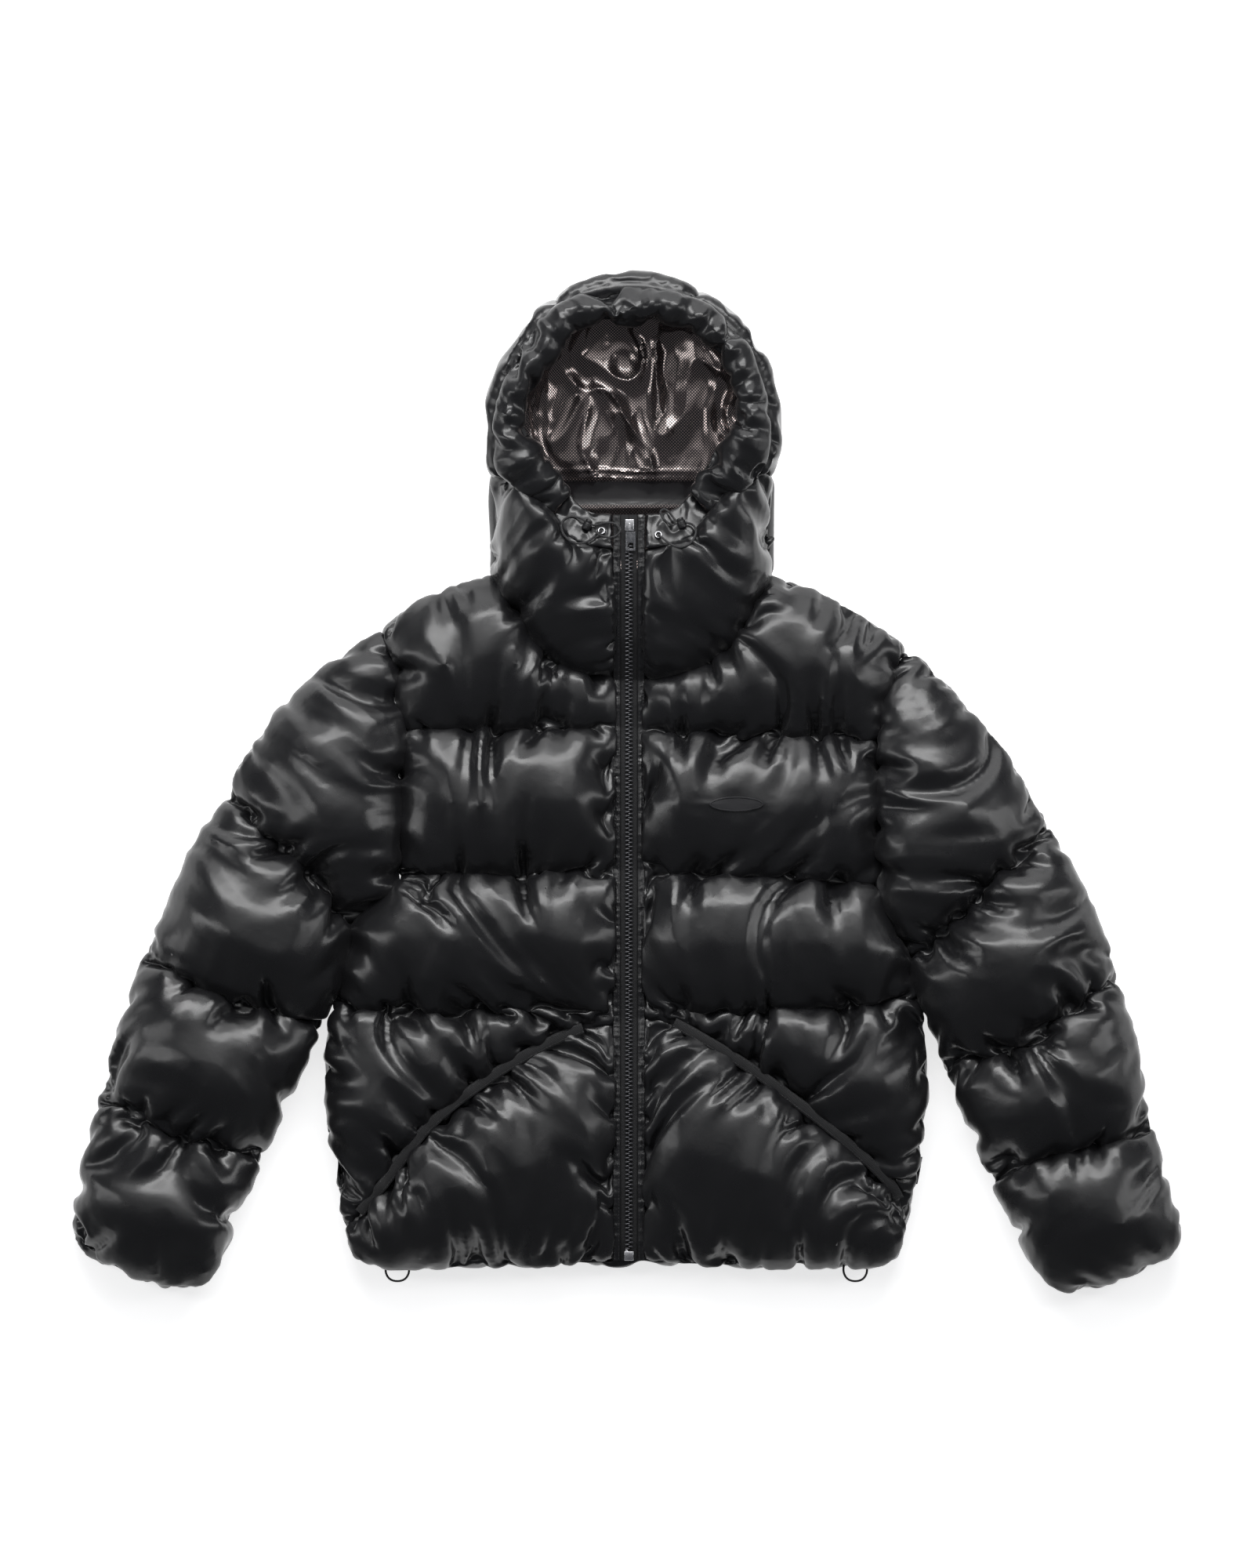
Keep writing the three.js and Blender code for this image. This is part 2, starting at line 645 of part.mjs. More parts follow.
function frontGrid(built, baffles) {
  const grid = [];
  baffles.forEach((baffle, index) => {
    const patch = bafflePatch(built, baffle);
    if (index === 0 && baffle.above === 'pocket') {
      grid.push(frontRow(baffle, patch, () => 0));
    }
    BAFFLE_ROWS.slice(index === 0 ? 0 : 1).forEach((fraction) => {
      grid.push(frontRow(baffle, patch, (length) => (
        lerp(margin(baffle.above, length), 1 - margin(baffle.below, length), fraction)
      )));
    });
    if (baffle.below === 'pocket') {
      grid.push(frontRow(baffle, patch, () => 1));
    }
  });
  return grid;
}

// Points of one row, at a fraction down the baffle that depends on its length there
function frontRow(baffle, patch, fractionAt) {
  const row = [];
  for (let c = 0; c <= FRONT_COLUMNS; c += 1) {
    const s = 1 - (1 - c / FRONT_COLUMNS) ** 1.2;
    const t = fractionAt(patch.above.at(s).distanceTo(patch.below.at(s)));
    const point = patchPoint(patch, s, t);
    const gap = baffle.above === 'pocket' && t === 0 ? SEAM_GAP : 0;
    row.push(new THREE.Vector3(point.x, point.y - gap, frontHeight(baffle, patch, s, t)));
  }
  return row;
}

// Tape over the edge of the pocket, laid on the panels on both sides of it
function pocketBinding(built, panels) {
  const line = built.lines.pocket;
  const half = BINDING.width / 2;
  const rings = anglesBetween(BINDING.start, BINDING.end, BINDING.stations).map((s) => {
    const middle = line.at(s);
    const run = line.at(s + 0.02).sub(line.at(s - 0.02)).normalize();
    const edge = [-half, -BINDING.fold, BINDING.fold, half].map((side) => {
      const x = middle.x - run.y * side;
      const y = middle.y + run.x * side;
      return new THREE.Vector3(x, y, surfaceZ(panels, x, y) + LAID_ON + BINDING.lift);
    });
    const upper = edge.map(({ x, y, z }) => new THREE.Vector3(x, y, z + BINDING.thick));
    return [...edge, ...upper.reverse()];
  });
  return loft(rings, 'fan');
}

// Back under the fronts, with the outline of both halves
function backOutline(halves) {
  const outline = [];
  const [right, left] = halves;
  const order = ['chest', 'waist', 'hip', 'pocket', 'hem'];
  const steps = [0, 0.33, 0.66];
  const down = [0, 0.24, 0.5, 0.76];
  steps.forEach((t) => outline.push(right.shoulder.at(t)));
  order.forEach((name) => down.forEach((t) => outline.push(right.sides[name].edge.at(t))));
  [0, 0.25, 0.5, 0.75].forEach((t) => outline.push(right.lines.hem.at(1 - t)));
  [0, 0.25, 0.5, 0.75].forEach((t) => outline.push(left.lines.hem.at(t)));
  [...order].reverse().forEach((name) => {
    down.forEach((t) => outline.push(left.sides[name].edge.at(1 - t)));
  });
  steps.forEach((t) => outline.push(left.shoulder.at(1 - t)));
  outline.push(left.shoulder.at(0));
  return outline;
}

function sleeveGeometry(sleeve) {
  const lines = sleeve.lines.map(({ path }) => new Path(path, sleeve.sign));
  const rings = [];
  SLEEVE_CROWNS.forEach((crown, index) => {
    const patch = {
      above: lines[index],
      below: lines[index + 1],
      start: new Path(sleeve.outer[index], sleeve.sign),
      end: new Path(sleeve.inner[index], sleeve.sign),
    };
    const heights = [sleeve.lines[index].z, sleeve.lines[index + 1].z];
    SLEEVE_ROWS.slice(index === 0 ? 0 : 1).forEach((t) => {
      rings.push(sleeveRing(patch, heights, crown, t, index));
    });
  });
  const slits = [4, 3, 2, 1, 0].map((baffle) => sleeveSlit(rings[baffle * (SLEEVE_ROWS.length - 1)]));
  return loft([...rings, ...slits], 'joined');
}

function sleeveRing(patch, [from, to], crown, t, index) {
  const ring = [];
  const width = lerp(patch.above.length, patch.below.length, t);
  for (let k = 0; k <= SLEEVE.top; k += 1) {
    const share = k / SLEEVE.top;
    const across = lerp(share, (1 - Math.cos(Math.PI * share)) / 2, 0.5);
    const length = patch.above.at(across).distanceTo(patch.below.at(across));
    const point = patchPoint(patch, across, t);
    const rise = Math.min(1, length / 90) ** 0.7;
    const fromSeam = Math.min(t, 1 - t) * length;
    const relief = gather(across * width, fromSeam, 3 * index + 1) + foldHeight(point.x, point.y) * puff(t);
    const height = lerp(from, to, t) + ((crown - lerp(from, to, t)) * puff(t) + relief) * rise;
    const side = (1 - Math.abs(1 - 2 * across) ** SLEEVE.round) ** SLEEVE.fall;
    ring.push(new THREE.Vector3(point.x, point.y, lerp(SLEEVE.edge, height, side)));
  }
  [...SLEEVE_UNDER].reverse().forEach(({ across, z }) => {
    const point = patchPoint(patch, across, t);
    ring.push(new THREE.Vector3(point.x, point.y, z));
  });
  return ring;
}

// Flat hollow down the middle of a sleeve
function sleeveSlit(ring) {
  const outer = ring[0];
  const inner = ring[SLEEVE.top];
  const middle = outer.clone().add(inner).multiplyScalar(0.5);
  return ring.map((point, k) => {
    const onTop = k <= SLEEVE.top;
    const reach = Math.min(1, point.distanceTo(middle) / outer.distanceTo(middle));
    const half = SLEEVE.slit * (1 - reach) + 0.1;
    const lift = k === 0 || k === SLEEVE.top ? 0 : half * (onTop ? 1 : -1);
    const x = lerp(middle.x, point.x, SLEEVE.slitWidth);
    const y = lerp(middle.y, point.y, SLEEVE.slitWidth);
    return new THREE.Vector3(x, y, SLEEVE.slitZ + lift);
  });
}

function hoodRadius(degrees, field) {
  return interpolate(HOOD_RADII, 'degrees', degrees, field);
}

function hoodPoint(degrees, radius, z) {
  const angle = degToRad(degrees);
  return new THREE.Vector3(HOOD.x + radius * Math.sin(angle), HOOD.y + radius * Math.cos(angle), z);
}

function anglesBetween(from, to, count) {
  return Array.from({ length: count + 1 }, (unused, i) => lerp(from, to, i / count));
}

// Side of the hood: stands round the opening and turns under to the gusset's edge
function hoodSide(sign) {
  const gusset = sign > 0 ? HOOD.gussetLeft : HOOD.gussetRight;
  const reach = hoodRadius(sign * gusset, 'outline') - HOOD.turn;
  const gussetX = reach * Math.sin(degToRad(gusset)) + 1.5 * SEAM_GAP;
  const outer = [];
  const inner = [];
  anglesBetween(gusset + 0.5, HOOD.sideEnd - 0.3, 16).forEach((degrees) => {
    const outline = hoodRadius(sign * degrees, 'outline');
    const end = Math.min(gussetX / Math.sin(degToRad(degrees)), outline - HOOD.turn + 1);
    const squeeze = Math.min(1, (outline - end - HOOD.wall) / HOOD.squeeze);
    const rib = 1 + HOOD.rib * Math.sin(degrees * 0.9);
    const at = (radius, z) => hoodPoint(sign * degrees, radius, z);
    outer.push([
      ...HOOD_WALL.map((row) => at(outline - row.in, row.z * (row.z > HOOD_RIM_Z ? 1 : rib))),
      at(end, 0),
    ]);
    const liningIn = (row) => HOOD.wall + (row.liningIn - HOOD.wall) * squeeze;
    inner.push([...HOOD_WALL.map((row) => at(outline - liningIn(row), row.liningZ)), at(end, BACK_TOP)]);
  });
  return wall(outer, inner);
}

// Gusset over the crown of the hood and down its back
function hoodCentre() {
  const outer = [];
  const inner = [];
  const squeeze = (HOOD.turn - HOOD_WALL[0].liningIn) / (HOOD_WALL.at(-1).liningIn - HOOD_WALL[0].liningIn);
  anglesBetween(-HOOD.gussetRight + 0.1, HOOD.gussetLeft - 0.1, 12).forEach((degrees) => {
    const outline = hoodRadius(degrees, 'outline');
    const brim = outline - hoodRadius(degrees, 'brim') - SEAM_GAP / 2;
    const turn = hoodPoint(degrees, outline - HOOD.turn, 0);
    const outerIn = (row, index) => (index < 2 ? brim : row.in);
    const innerIn = (row) => Math.max(brim + 4, lerp(HOOD_WALL[0].liningIn, row.liningIn, squeeze));
    outer.push([
      ...HOOD_WALL.map((row, index) => hoodPoint(degrees, outline - outerIn(row, index), row.z)),
      new THREE.Vector3(turn.x, HOOD.floor, 0),
    ]);
    inner.push([
      ...HOOD_WALL.map((row) => hoodPoint(degrees, outline - innerIn(row), row.liningZ)),
      new THREE.Vector3(turn.x, HOOD.floor, BACK_TOP),
    ]);
  });
  return wall(outer, inner);
}

function hoodBrim() {
  const rings = anglesBetween(-HOOD.brimEnd, HOOD.brimEnd, 50).map((degrees) => {
    const opening = hoodRadius(degrees, 'opening');
    const width = hoodRadius(degrees, 'brim') - SEAM_GAP - opening;
    const wave = 0.8 * gather(degrees * BRIM_GATHER_SPREAD, GATHER.reach, 2);
    const full = lerp(0.3, 1, smoothstep(HOOD.brimEnd - Math.abs(degrees), 0, 30));
    const base = BRIM_SECTION[0].z;
    return BRIM_SECTION.map(({ across, z }) => {
      const free = Math.sin(Math.PI * across);
      return hoodPoint(degrees, opening + across * width, base + (z - base + wave * free) * full);
    });
  });
  return loft(rings, 'fan');
}

// Lining of the hood, a thin shell that follows its inside down to the neck
function hoodLining() {
  const angles = anglesBetween(-180, 180, 30).slice(1);
  const ring = (index, inwards) => angles.map((degrees) => {
    const toNeck = smoothstep(Math.abs(degrees), LINING.neckFrom, LINING.neckFull);
    const lip = hoodRadius(degrees, 'opening') + LINING.lip;
    const side = LINING_WALL[index];
    const sideRadius = index === 0 ? lip : Math.min(hoodRadius(degrees, 'outline'), 150) - side.fromOutline;
    const radius = lerp(sideRadius, LINING_NECK[index].radius, toNeck);
    const z = lerp(side.z, LINING_NECK[index].z, toNeck);
    return hoodPoint(degrees, radius - inwards, z + (index === 0 ? 0.5 : 0.9) * inwards);
  });
  const floor = (z) => angles.map((degrees) => hoodPoint(degrees, LINING.centre, z));
  const steps = LINING_WALL.map((row, index) => index);
  const outside = [...steps].reverse().map((index) => ring(index, 0));
  const inside = steps.map((index) => ring(index, LINING.thick));
  return loft([floor(LINING.floor), ...outside, ...inside, floor(LINING.floor + LINING.thick)], 'flat');
}

function facingZ(y) {
  return NECK.facingZ - (y - NECK_TOP[0][1]) * NECK.facingSlope;
}

// Upper edge of the neck: under the facing, then round the end of the brim
function neckTopPath(sign) {
  const brim = anglesBetween(HOOD.brimEnd, HOOD.sideEnd + 0.5, 5).map((degrees) => {
    const point = hoodPoint(sign * degrees, hoodRadius(sign * degrees, 'brim') + SEAM_GAP / 2, 0);
    return [Math.abs(point.x), point.y];
  });
  const corner = hoodPoint(sign * (HOOD.sideEnd + 0.3), hoodRadius(sign * HOOD.sideEnd, 'outline'), 0);
  return new Path([...NECK_TOP, ...brim, [Math.abs(corner.x), corner.y]], sign);
}

function panelBetween(lower, upper) {
  return { above: lower, below: upper, start: straight(lower, upper, 0), end: straight(lower, upper, 1) };
}

function neckGeometry(built) {
  const lower = raised(built.lines.neck, SEAM_GAP);
  const upper = neckTopPath(built.sign);
  const patch = panelBetween(lower, upper);
  const outer = NECK_ROWS.map(({ along, z }) => {
    const row = [];
    for (let c = 0; c <= NECK.columns; c += 1) {
      const s = 1 - (1 - c / NECK.columns) ** 1.3;
      const point = patchPoint(patch, s, along);
      const width = lerp(lower.length, upper.length, along);
      const length = lower.at(s).distanceTo(upper.at(s));
      const relief = gather(s * width, along * length, 5);
      const height = (z + relief) * lerp(0.95, 1, smoothstep(s, 0, 0.2));
      const side = roundOver((1 - s) * width, NECK.round);
      row.push(new THREE.Vector3(point.x, point.y, lerp(EDGE_Z, height, side)));
    }
    return row;
  });
  const inside = ({ x, y, z }) => new THREE.Vector3(x, y, Math.max(INSIDE_Z, z - NECK.wall));
  const inner = outer.map((row) => row.map(inside));
  return wall(outer, inner);
}

// Facing turned out at the top of the neck, which carries the eyelet
function facingGeometry(sign) {
  const end = (radius) => hoodPoint(sign * (HOOD.brimEnd + 1), radius, 0);
  const low = end(hoodRadius(sign * HOOD.brimEnd, 'brim') - FACING_LAP);
  const high = end(hoodRadius(sign * HOOD.brimEnd, 'opening') + FACING_LAP);
  const lower = new Path([...FACING_LOWER, [Math.abs(low.x), low.y]], sign);
  const upper = new Path([...FACING_UPPER, [Math.abs(high.x), high.y]], sign);
  const patch = panelBetween(lower, upper);
  const grid = (drop) => [0, 0.5, 1].map((t) => anglesBetween(0, 1, 8).map((s) => {
    const point = patchPoint(patch, s, t);
    return new THREE.Vector3(point.x, point.y, facingZ(point.y) - drop);
  }));
  return wall(grid(0), grid(NECK.facingWall));
}

function neckBackOutline() {
  const end = HOOD.sideEnd + NECK_BACK.gap;
  const corner = (sign) => hoodPoint(sign * end, hoodRadius(sign * HOOD.sideEnd, 'outline'), 0);
  const ledge = HOOD.floor - SEAM_GAP;
  const turnX = (sign) => HOOD.x + sign * (HOOD.y - ledge) * Math.tan(degToRad(180 - end));
  return [
    new THREE.Vector2(...NECK_BACK.right),
    new THREE.Vector2(...NECK_BACK.left),
    new THREE.Vector2(corner(1).x, corner(1).y),
    new THREE.Vector2(turnX(1), ledge),
    new THREE.Vector2(turnX(-1), ledge),
    new THREE.Vector2(corner(-1).x, corner(-1).y),
  ];
}

function zipZ(y) {
  return interpolate(ZIP_HEIGHTS, 'y', y, 'z');
}

// Strip that runs up the front opening, from a section of [x, height over the tape]
function openingStrip(from, to, section) {
  const stations = ZIP_HEIGHTS.map(({ y }) => y).filter((y) => y > from + 2 && y < to - 2);
  const rings = [from, ...stations, to].map((y) => (
    section.map(([x, z]) => new THREE.Vector3(x, y, zipZ(y) + z))
  ));
  return loft(rings, 'fan');
}

// Narrow gathered strip beside the zip
function placketGeometry(sign) {
  const rings = anglesBetween(ZIP_BOTTOM, ZIP_TOP, 36).map((y, i) => {
    const base = zipZ(y);
    const under = Math.min(base - PLACKET.top, Math.max(INSIDE_Z, base - PLACKET.deep));
    const top = base + PLACKET.top + (i % 2 === 0 ? PLACKET.ridge : -PLACKET.dip);
    const section = [
      [PLACKET_OUT, under], [PLACKET_OUT, top - PLACKET.outFall], [PLACKET.middle, top],
      [PLACKET_IN, top - PLACKET.inFall], [PLACKET_IN, under],
    ];
    return section.map(([x, z]) => new THREE.Vector3(sign * x, y, z));
  });
  return loft(rings, 'fan');
}

function zipTape(sign) {
  const inside = TOUCH;
  const outside = PLACKET_IN - TOUCH;
  return openingStrip(ZIP_BOTTOM, ZIP_TOP, [
    [sign * inside, -TAPE_THICK], [sign * outside, -TAPE_THICK], [sign * outside, 0], [sign * inside, 0],
  ]);
}

function zipChain() {
  const half = CHAIN_WIDTH / 2;
  const shoulder = CHAIN_HIGH - 0.6;
  return openingStrip(BOX_TOP + CHAIN_GAP, SLIDER.front - CHAIN_GAP, [
    [-half, TOUCH], [half, TOUCH], [half, shoulder],
    [half * 0.6, CHAIN_HIGH], [-half * 0.6, CHAIN_HIGH], [-half, shoulder],
  ]);
}

// Outline in the plane of y and z, extruded along x
function sideExtrusion(points, width, x) {
  const shape = new THREE.Shape(points.map(([y, z]) => new THREE.Vector2(y, z)));
  const geometry = new THREE.ExtrudeGeometry(shape, { depth: width, bevelEnabled: false });
  geometry.applyMatrix4(new THREE.Matrix4().set(
    0, 0, 1, x - width / 2,
    1, 0, 0, 0,
    0, 1, 0, 0,
    0, 0, 0, 1,
  ));
  return geometry;
}

function sliderGeometry() {
  const base = Math.max(zipZ(SLIDER.front), zipZ(SLIDER.back)) + TOUCH;
  const { front, back, high } = SLIDER;
  return sideExtrusion([
    [front, base], [back, base], [back, base + high - 1.6], [back - 2, base + high - 0.3],
    [front + 2, base + high - 0.3], [front, base + high - 1.2],
  ], SLIDER.width, SLIDER.x);
}

function rectangle(width, low, high) {
  const half = width / 2;
  return [[-half, low], [half, low], [half, high], [-half, high]].map(([x, y]) => new THREE.Vector2(x, y));
}

function pullPivot() {
  return new THREE.Vector3(PULL.x, PULL.y, zipZ(PULL.y) + SLIDER.pivot);
}

function pullGeometry() {
  const low = PULL.top - PULL.length;
  const shape = new THREE.Shape(rectangle(PULL.width, low, PULL.top));
  const holeLow = low + PULL.holeEdge;
  shape.holes.push(new THREE.Path(rectangle(PULL.hole, holeLow, holeLow + PULL.hole)));
  const geometry = new THREE.ExtrudeGeometry(shape, { depth: PULL.thick, bevelEnabled: false });
  geometry.translate(0, 0, -PULL.thick / 2);
  geometry.rotateX(degToRad(PULL.tilt));
  return geometry;
}

function boxGeometry() {
  const geometry = new THREE.BoxGeometry(ZIP_BOX.width, BOX_TOP - ZIP_BOTTOM, ZIP_BOX.high);
  geometry.translate(0, (BOX_TOP + ZIP_BOTTOM) / 2, zipZ(BOX_TOP) + TOUCH + ZIP_BOX.high / 2);
  return geometry;
}

function eyeletMesh(x, y) {
  const { outer, inner, thick } = EYELET;
  const profile = [[inner, 0], [outer, 0], [outer - 0.6, thick], [inner + 0.4, thick], [inner, 0]];
  const geometry = new THREE.LatheGeometry(profile.map(([r, z]) => new THREE.Vector2(r, z)), 14);
  geometry.rotateX(Math.PI / 2);
  geometry.rotateX(-Math.atan(NECK.facingSlope));
  geometry.translate(x, y, facingZ(y) + LAID_ON);
  return geometry;
}

// Barrel that pinches the hood cord, lying on the facing
function lockGeometry({ x, y, turn }) {
  const { radius, neck, half } = LOCK;
  const profile = [
    [0, -half], [neck, -half], [radius, -half + 2], [radius, 0.6],
    [neck - 0.2, 1.6], [neck, 3.4], [neck - 1, half], [0, half],
  ];
  const geometry = new THREE.LatheGeometry(profile.map(([r, along]) => new THREE.Vector2(r, along)), 14);
  geometry.rotateZ(degToRad(turn));
  geometry.translate(x, y, facingZ(y) + radius + LOCK.lift);
  return geometry;
}

function cordGeometry(points, steps) {
  const curve = new THREE.CatmullRomCurve3(points);
  const section = new THREE.Shape(anglesBetween(0, 360, 8).slice(1).map((degrees) => {
    const angle = degToRad(degrees);
    return new THREE.Vector2((CORD / 2) * Math.cos(angle), (CORD / 2) * Math.sin(angle));
  }));
  return new THREE.ExtrudeGeometry(section, { steps, extrudePath: curve, bevelEnabled: false });
}

function facingCord(route) {
  const points = route.map(([x, y, lift]) => new THREE.Vector3(x, y, facingZ(y) + lift));
  const length = new THREE.CatmullRomCurve3(points).getLength();
  return cordGeometry(points, Math.round(length / (2.5 * CORD)));
}

function hemLoop(x) {
  const points = HEM_LOOP.map(([dx, y, z]) => new THREE.Vector3(x + dx, y, z));
  return cordGeometry(points, 10);
}

// Height of the uppermost of some meshes under a point
function surfaceZ(meshes, x, y) {
  const ray = new THREE.Raycaster(new THREE.Vector3(x, y, 500), new THREE.Vector3(0, 0, -1));
  return ray.intersectObjects(meshes)[0].point.z;
}

function patchGeometry(front) {
  const rings = [0.05, 0.5, 1].map((share) => anglesBetween(0, 360, 20).slice(1).map((degrees) => {
    const angle = degToRad(degrees);
    const x = PATCH.x + share * (PATCH.length / 2) * Math.cos(angle);
    const y = PATCH.y + share * (PATCH.width / 2) * Math.sin(angle);
    return new THREE.Vector3(x, y, surfaceZ([front], x, y) + LAID_ON + TOUCH);
  }));
  const raised = rings.map((ring) => ring.map(({ x, y, z }) => new THREE.Vector3(x, y, z + PATCH.thick)));
  return loft([...rings, ...[...raised].reverse()], 'flat');
}

function labelGeometry(built) {
  const side = built.sides.pocket.edge;
  const edgeX = (y) => {
    const i = clamp(side.points.findIndex((point) => point.y <= y), 1, side.points.length - 1);
    const [a, b] = [side.points[i - 1], side.points[i]];
    return lerp(a.x, b.x, (y - a.y) / (b.y - a.y));
  };
  const rings = [0, 0.5, 1].map((share) => {
    const y = LABEL.top - share * LABEL.length;
    const x = edgeX(y) + LABEL.gap;
    const outer = x + LABEL.width;
    const { z, outerZ, thick } = LABEL;
    return [[x, z], [outer, outerZ], [outer, outerZ + thick], [x, z + thick]]
      .map(([px, pz]) => new THREE.Vector3(px, y, pz));
  });
  return loft(rings, 'fan');
}

const jacket = new THREE.Group();
jacket.name = 'hooded_puffer_jacket';

function add(name, geometry, material, position) {
  geometry.deleteAttribute('uv');
  const mesh = new THREE.Mesh(geometry, material);
  mesh.name = name;
  if (position) {
    mesh.position.copy(position);
  }
  jacket.add(mesh);
  return mesh;
}

const rightHalf = buildHalf(RIGHT_HALF);
const leftHalf = buildHalf(LEFT_HALF);
const halves = [
  { name: 'right', built: rightHalf, sleeve: RIGHT_SLEEVE },
  { name: 'left', built: leftHalf, sleeve: LEFT_SLEEVE },
];
const fronts = {};

const { shell } = MATERIALS;

add('back', restingPlate(backOutline([rightHalf, leftHalf]), BACK_INSET), shell);
halves.forEach(({ name, built, sleeve }) => {
  const { sign } = built;
  fronts[name] = add(`front_${name}`, puffedPanel(frontGrid(built, FRONT_BAFFLES), INSIDE_Z), shell);
  const pocket = add(`pocket_${name}`, puffedPanel(frontGrid(built, [POCKET_BAFFLE]), INSIDE_Z), shell);
  add(`pocket_binding_${name}`, pocketBinding(built, [fronts[name], pocket]), MATERIALS.trim);
  add(`placket_${name}`, placketGeometry(sign), shell);
  add(`sleeve_${name}`, sleeveGeometry(sleeve), shell);
  add(`neck_${name}`, neckGeometry(built), shell);
  add(`collar_facing_${name}`, facingGeometry(sign), shell);
  add(`hood_side_${name}`, hoodSide(sign), shell);
  add(`zip_tape_${name}`, zipTape(sign), MATERIALS.trim);
});
add('neck_back', restingPlate(neckBackOutline(), NECK_BACK_INSET), shell);
add('hood_centre', hoodCentre(), shell);
add('hood_brim', hoodBrim(), shell);
add('hood_lining', hoodLining(), MATERIALS.lining);
add('zip_chain', zipChain(), MATERIALS.metal);
add('zip_slider', sliderGeometry(), MATERIALS.metal);
add('zip_pull', pullGeometry(), MATERIALS.metal, pullPivot());
add('zip_box', boxGeometry(), MATERIALS.metal);
add('chest_patch', patchGeometry(fronts.left), MATERIALS.trim);
add('side_label', labelGeometry(leftHalf), MATERIALS.trim);
add('eyelet_right', eyeletMesh(RIGHT_CORD[0][0], RIGHT_CORD[0][1]), MATERIALS.metal);
add('eyelet_left', eyeletMesh(LEFT_CORD[0][0], LEFT_CORD[0][1]), MATERIALS.metal);
add('hood_cord_right', facingCord(RIGHT_CORD), MATERIALS.trim);
add('hood_cord_end_right', facingCord(RIGHT_CORD_END), MATERIALS.trim);
add('hood_cord_left', facingCord(LEFT_CORD), MATERIALS.trim);
add('hood_cord_end_left', facingCord(LEFT_CORD_END), MATERIALS.trim);
add('cord_lock_right', lockGeometry(LOCK_PLACES.right), MATERIALS.plastic);
add('cord_lock_left', lockGeometry(LOCK_PLACES.left), MATERIALS.plastic);
HEM_LOOP_X.forEach(({ name, x }) => add(`hem_cord_${name}`, hemLoop(x), MATERIALS.trim));

export default jacket;
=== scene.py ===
# Looks of a hooded puffer jacket that lies on its back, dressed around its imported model
import json
import math

import bmesh
import bpy
import numpy as np
from bpy.props import FloatProperty, FloatVectorProperty, IntProperty, PointerProperty
from mathutils import Matrix, Vector, noise
from mathutils.bvhtree import BVHTree
from mathutils.kdtree import KDTree


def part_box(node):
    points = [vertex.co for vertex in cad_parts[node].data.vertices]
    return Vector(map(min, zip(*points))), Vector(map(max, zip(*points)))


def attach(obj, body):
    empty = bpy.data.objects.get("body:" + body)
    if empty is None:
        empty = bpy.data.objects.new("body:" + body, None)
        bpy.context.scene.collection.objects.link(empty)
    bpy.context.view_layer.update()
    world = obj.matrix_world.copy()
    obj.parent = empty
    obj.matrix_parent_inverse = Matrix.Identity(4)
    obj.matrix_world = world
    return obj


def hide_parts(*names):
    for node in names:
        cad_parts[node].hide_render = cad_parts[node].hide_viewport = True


bl_info = {
    "name": "Hooded puffer jacket",
    "version": (1, 0, 0),
    "blender": (4, 5, 0),
    "location": "View3D > Sidebar > Jacket",
    "description": "Dresses a quilted hooded jacket, laid flat, with cloth, zip, cords and studio light",
    "category": "Object",
}

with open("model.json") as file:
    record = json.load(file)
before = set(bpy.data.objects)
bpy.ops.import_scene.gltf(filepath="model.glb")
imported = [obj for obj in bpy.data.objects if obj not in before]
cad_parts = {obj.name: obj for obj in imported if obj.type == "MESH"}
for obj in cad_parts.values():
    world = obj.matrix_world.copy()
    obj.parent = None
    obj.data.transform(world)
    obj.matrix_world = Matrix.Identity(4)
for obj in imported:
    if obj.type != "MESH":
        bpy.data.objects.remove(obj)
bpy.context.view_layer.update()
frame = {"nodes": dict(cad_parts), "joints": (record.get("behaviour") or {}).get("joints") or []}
MM = 0.001
BODY = "jacket"
SIDES = {"right": -1, "left": 1}

# Padded pieces: mesh size in mm, extra cloth along the seams and over the rest, and how full each is
SHELL_COLUMNS = ("node", "grain", "gather", "slack", "air", "fine", "fold", "fill", "kept")
SHELLS = [dict(zip(SHELL_COLUMNS, row)) for row in (
    ("front_right", 3.5, 0.13, 0.045, 1.0, 1.0, 1.0, 0.7, 0.55),
    ("front_left", 3.5, 0.13, 0.045, 1.0, 1.0, 1.0, 0.7, 0.55),
    ("pocket_right", 3.5, 0.13, 0.045, 1.0, 1.0, 1.0, 0.7, 0.55),
    ("pocket_left", 3.5, 0.13, 0.045, 1.0, 1.0, 1.0, 0.7, 0.55),
    ("sleeve_right", 3.8, 0.11, 0.035, 1.1, 0.9, 1.0, 0.8, 0.5),
    ("sleeve_left", 3.8, 0.11, 0.035, 1.1, 0.9, 1.0, 0.8, 0.5),
    ("neck_right", 3.2, 0.07, 0.025, 0.6, 0.4, 1.1, 0.6, 0.5),
    ("neck_left", 3.2, 0.07, 0.025, 0.6, 0.4, 1.1, 0.6, 0.5),
    ("hood_side_right", 3.2, 0.05, 0.02, 0.4, 0.3, 1.0, 0.5, 0.45),
    ("hood_side_left", 3.2, 0.05, 0.02, 0.4, 0.3, 1.0, 0.5, 0.45),
    ("hood_centre", 3.6, 0.04, 0.02, 0.4, 0.2, 0.5, 0.5, 0.45),
    ("hood_brim", 2.6, 0.04, 0.025, 0.6, 0.3, 1.2, 0.6, 0.6),
    ("neck_back", 5.0, 0.06, 0.02, 0.2, 0.3, 0.4, 0.5, 0.3),
    ("back", 6.0, 0.08, 0.02, 0.2, 0.3, 0.4, 0.5, 0.25),
)]

# Oval patch on the chest in mm
PATCH = {"node": "front_left", "x": 107, "y": -20, "length": 54, "width": 15}


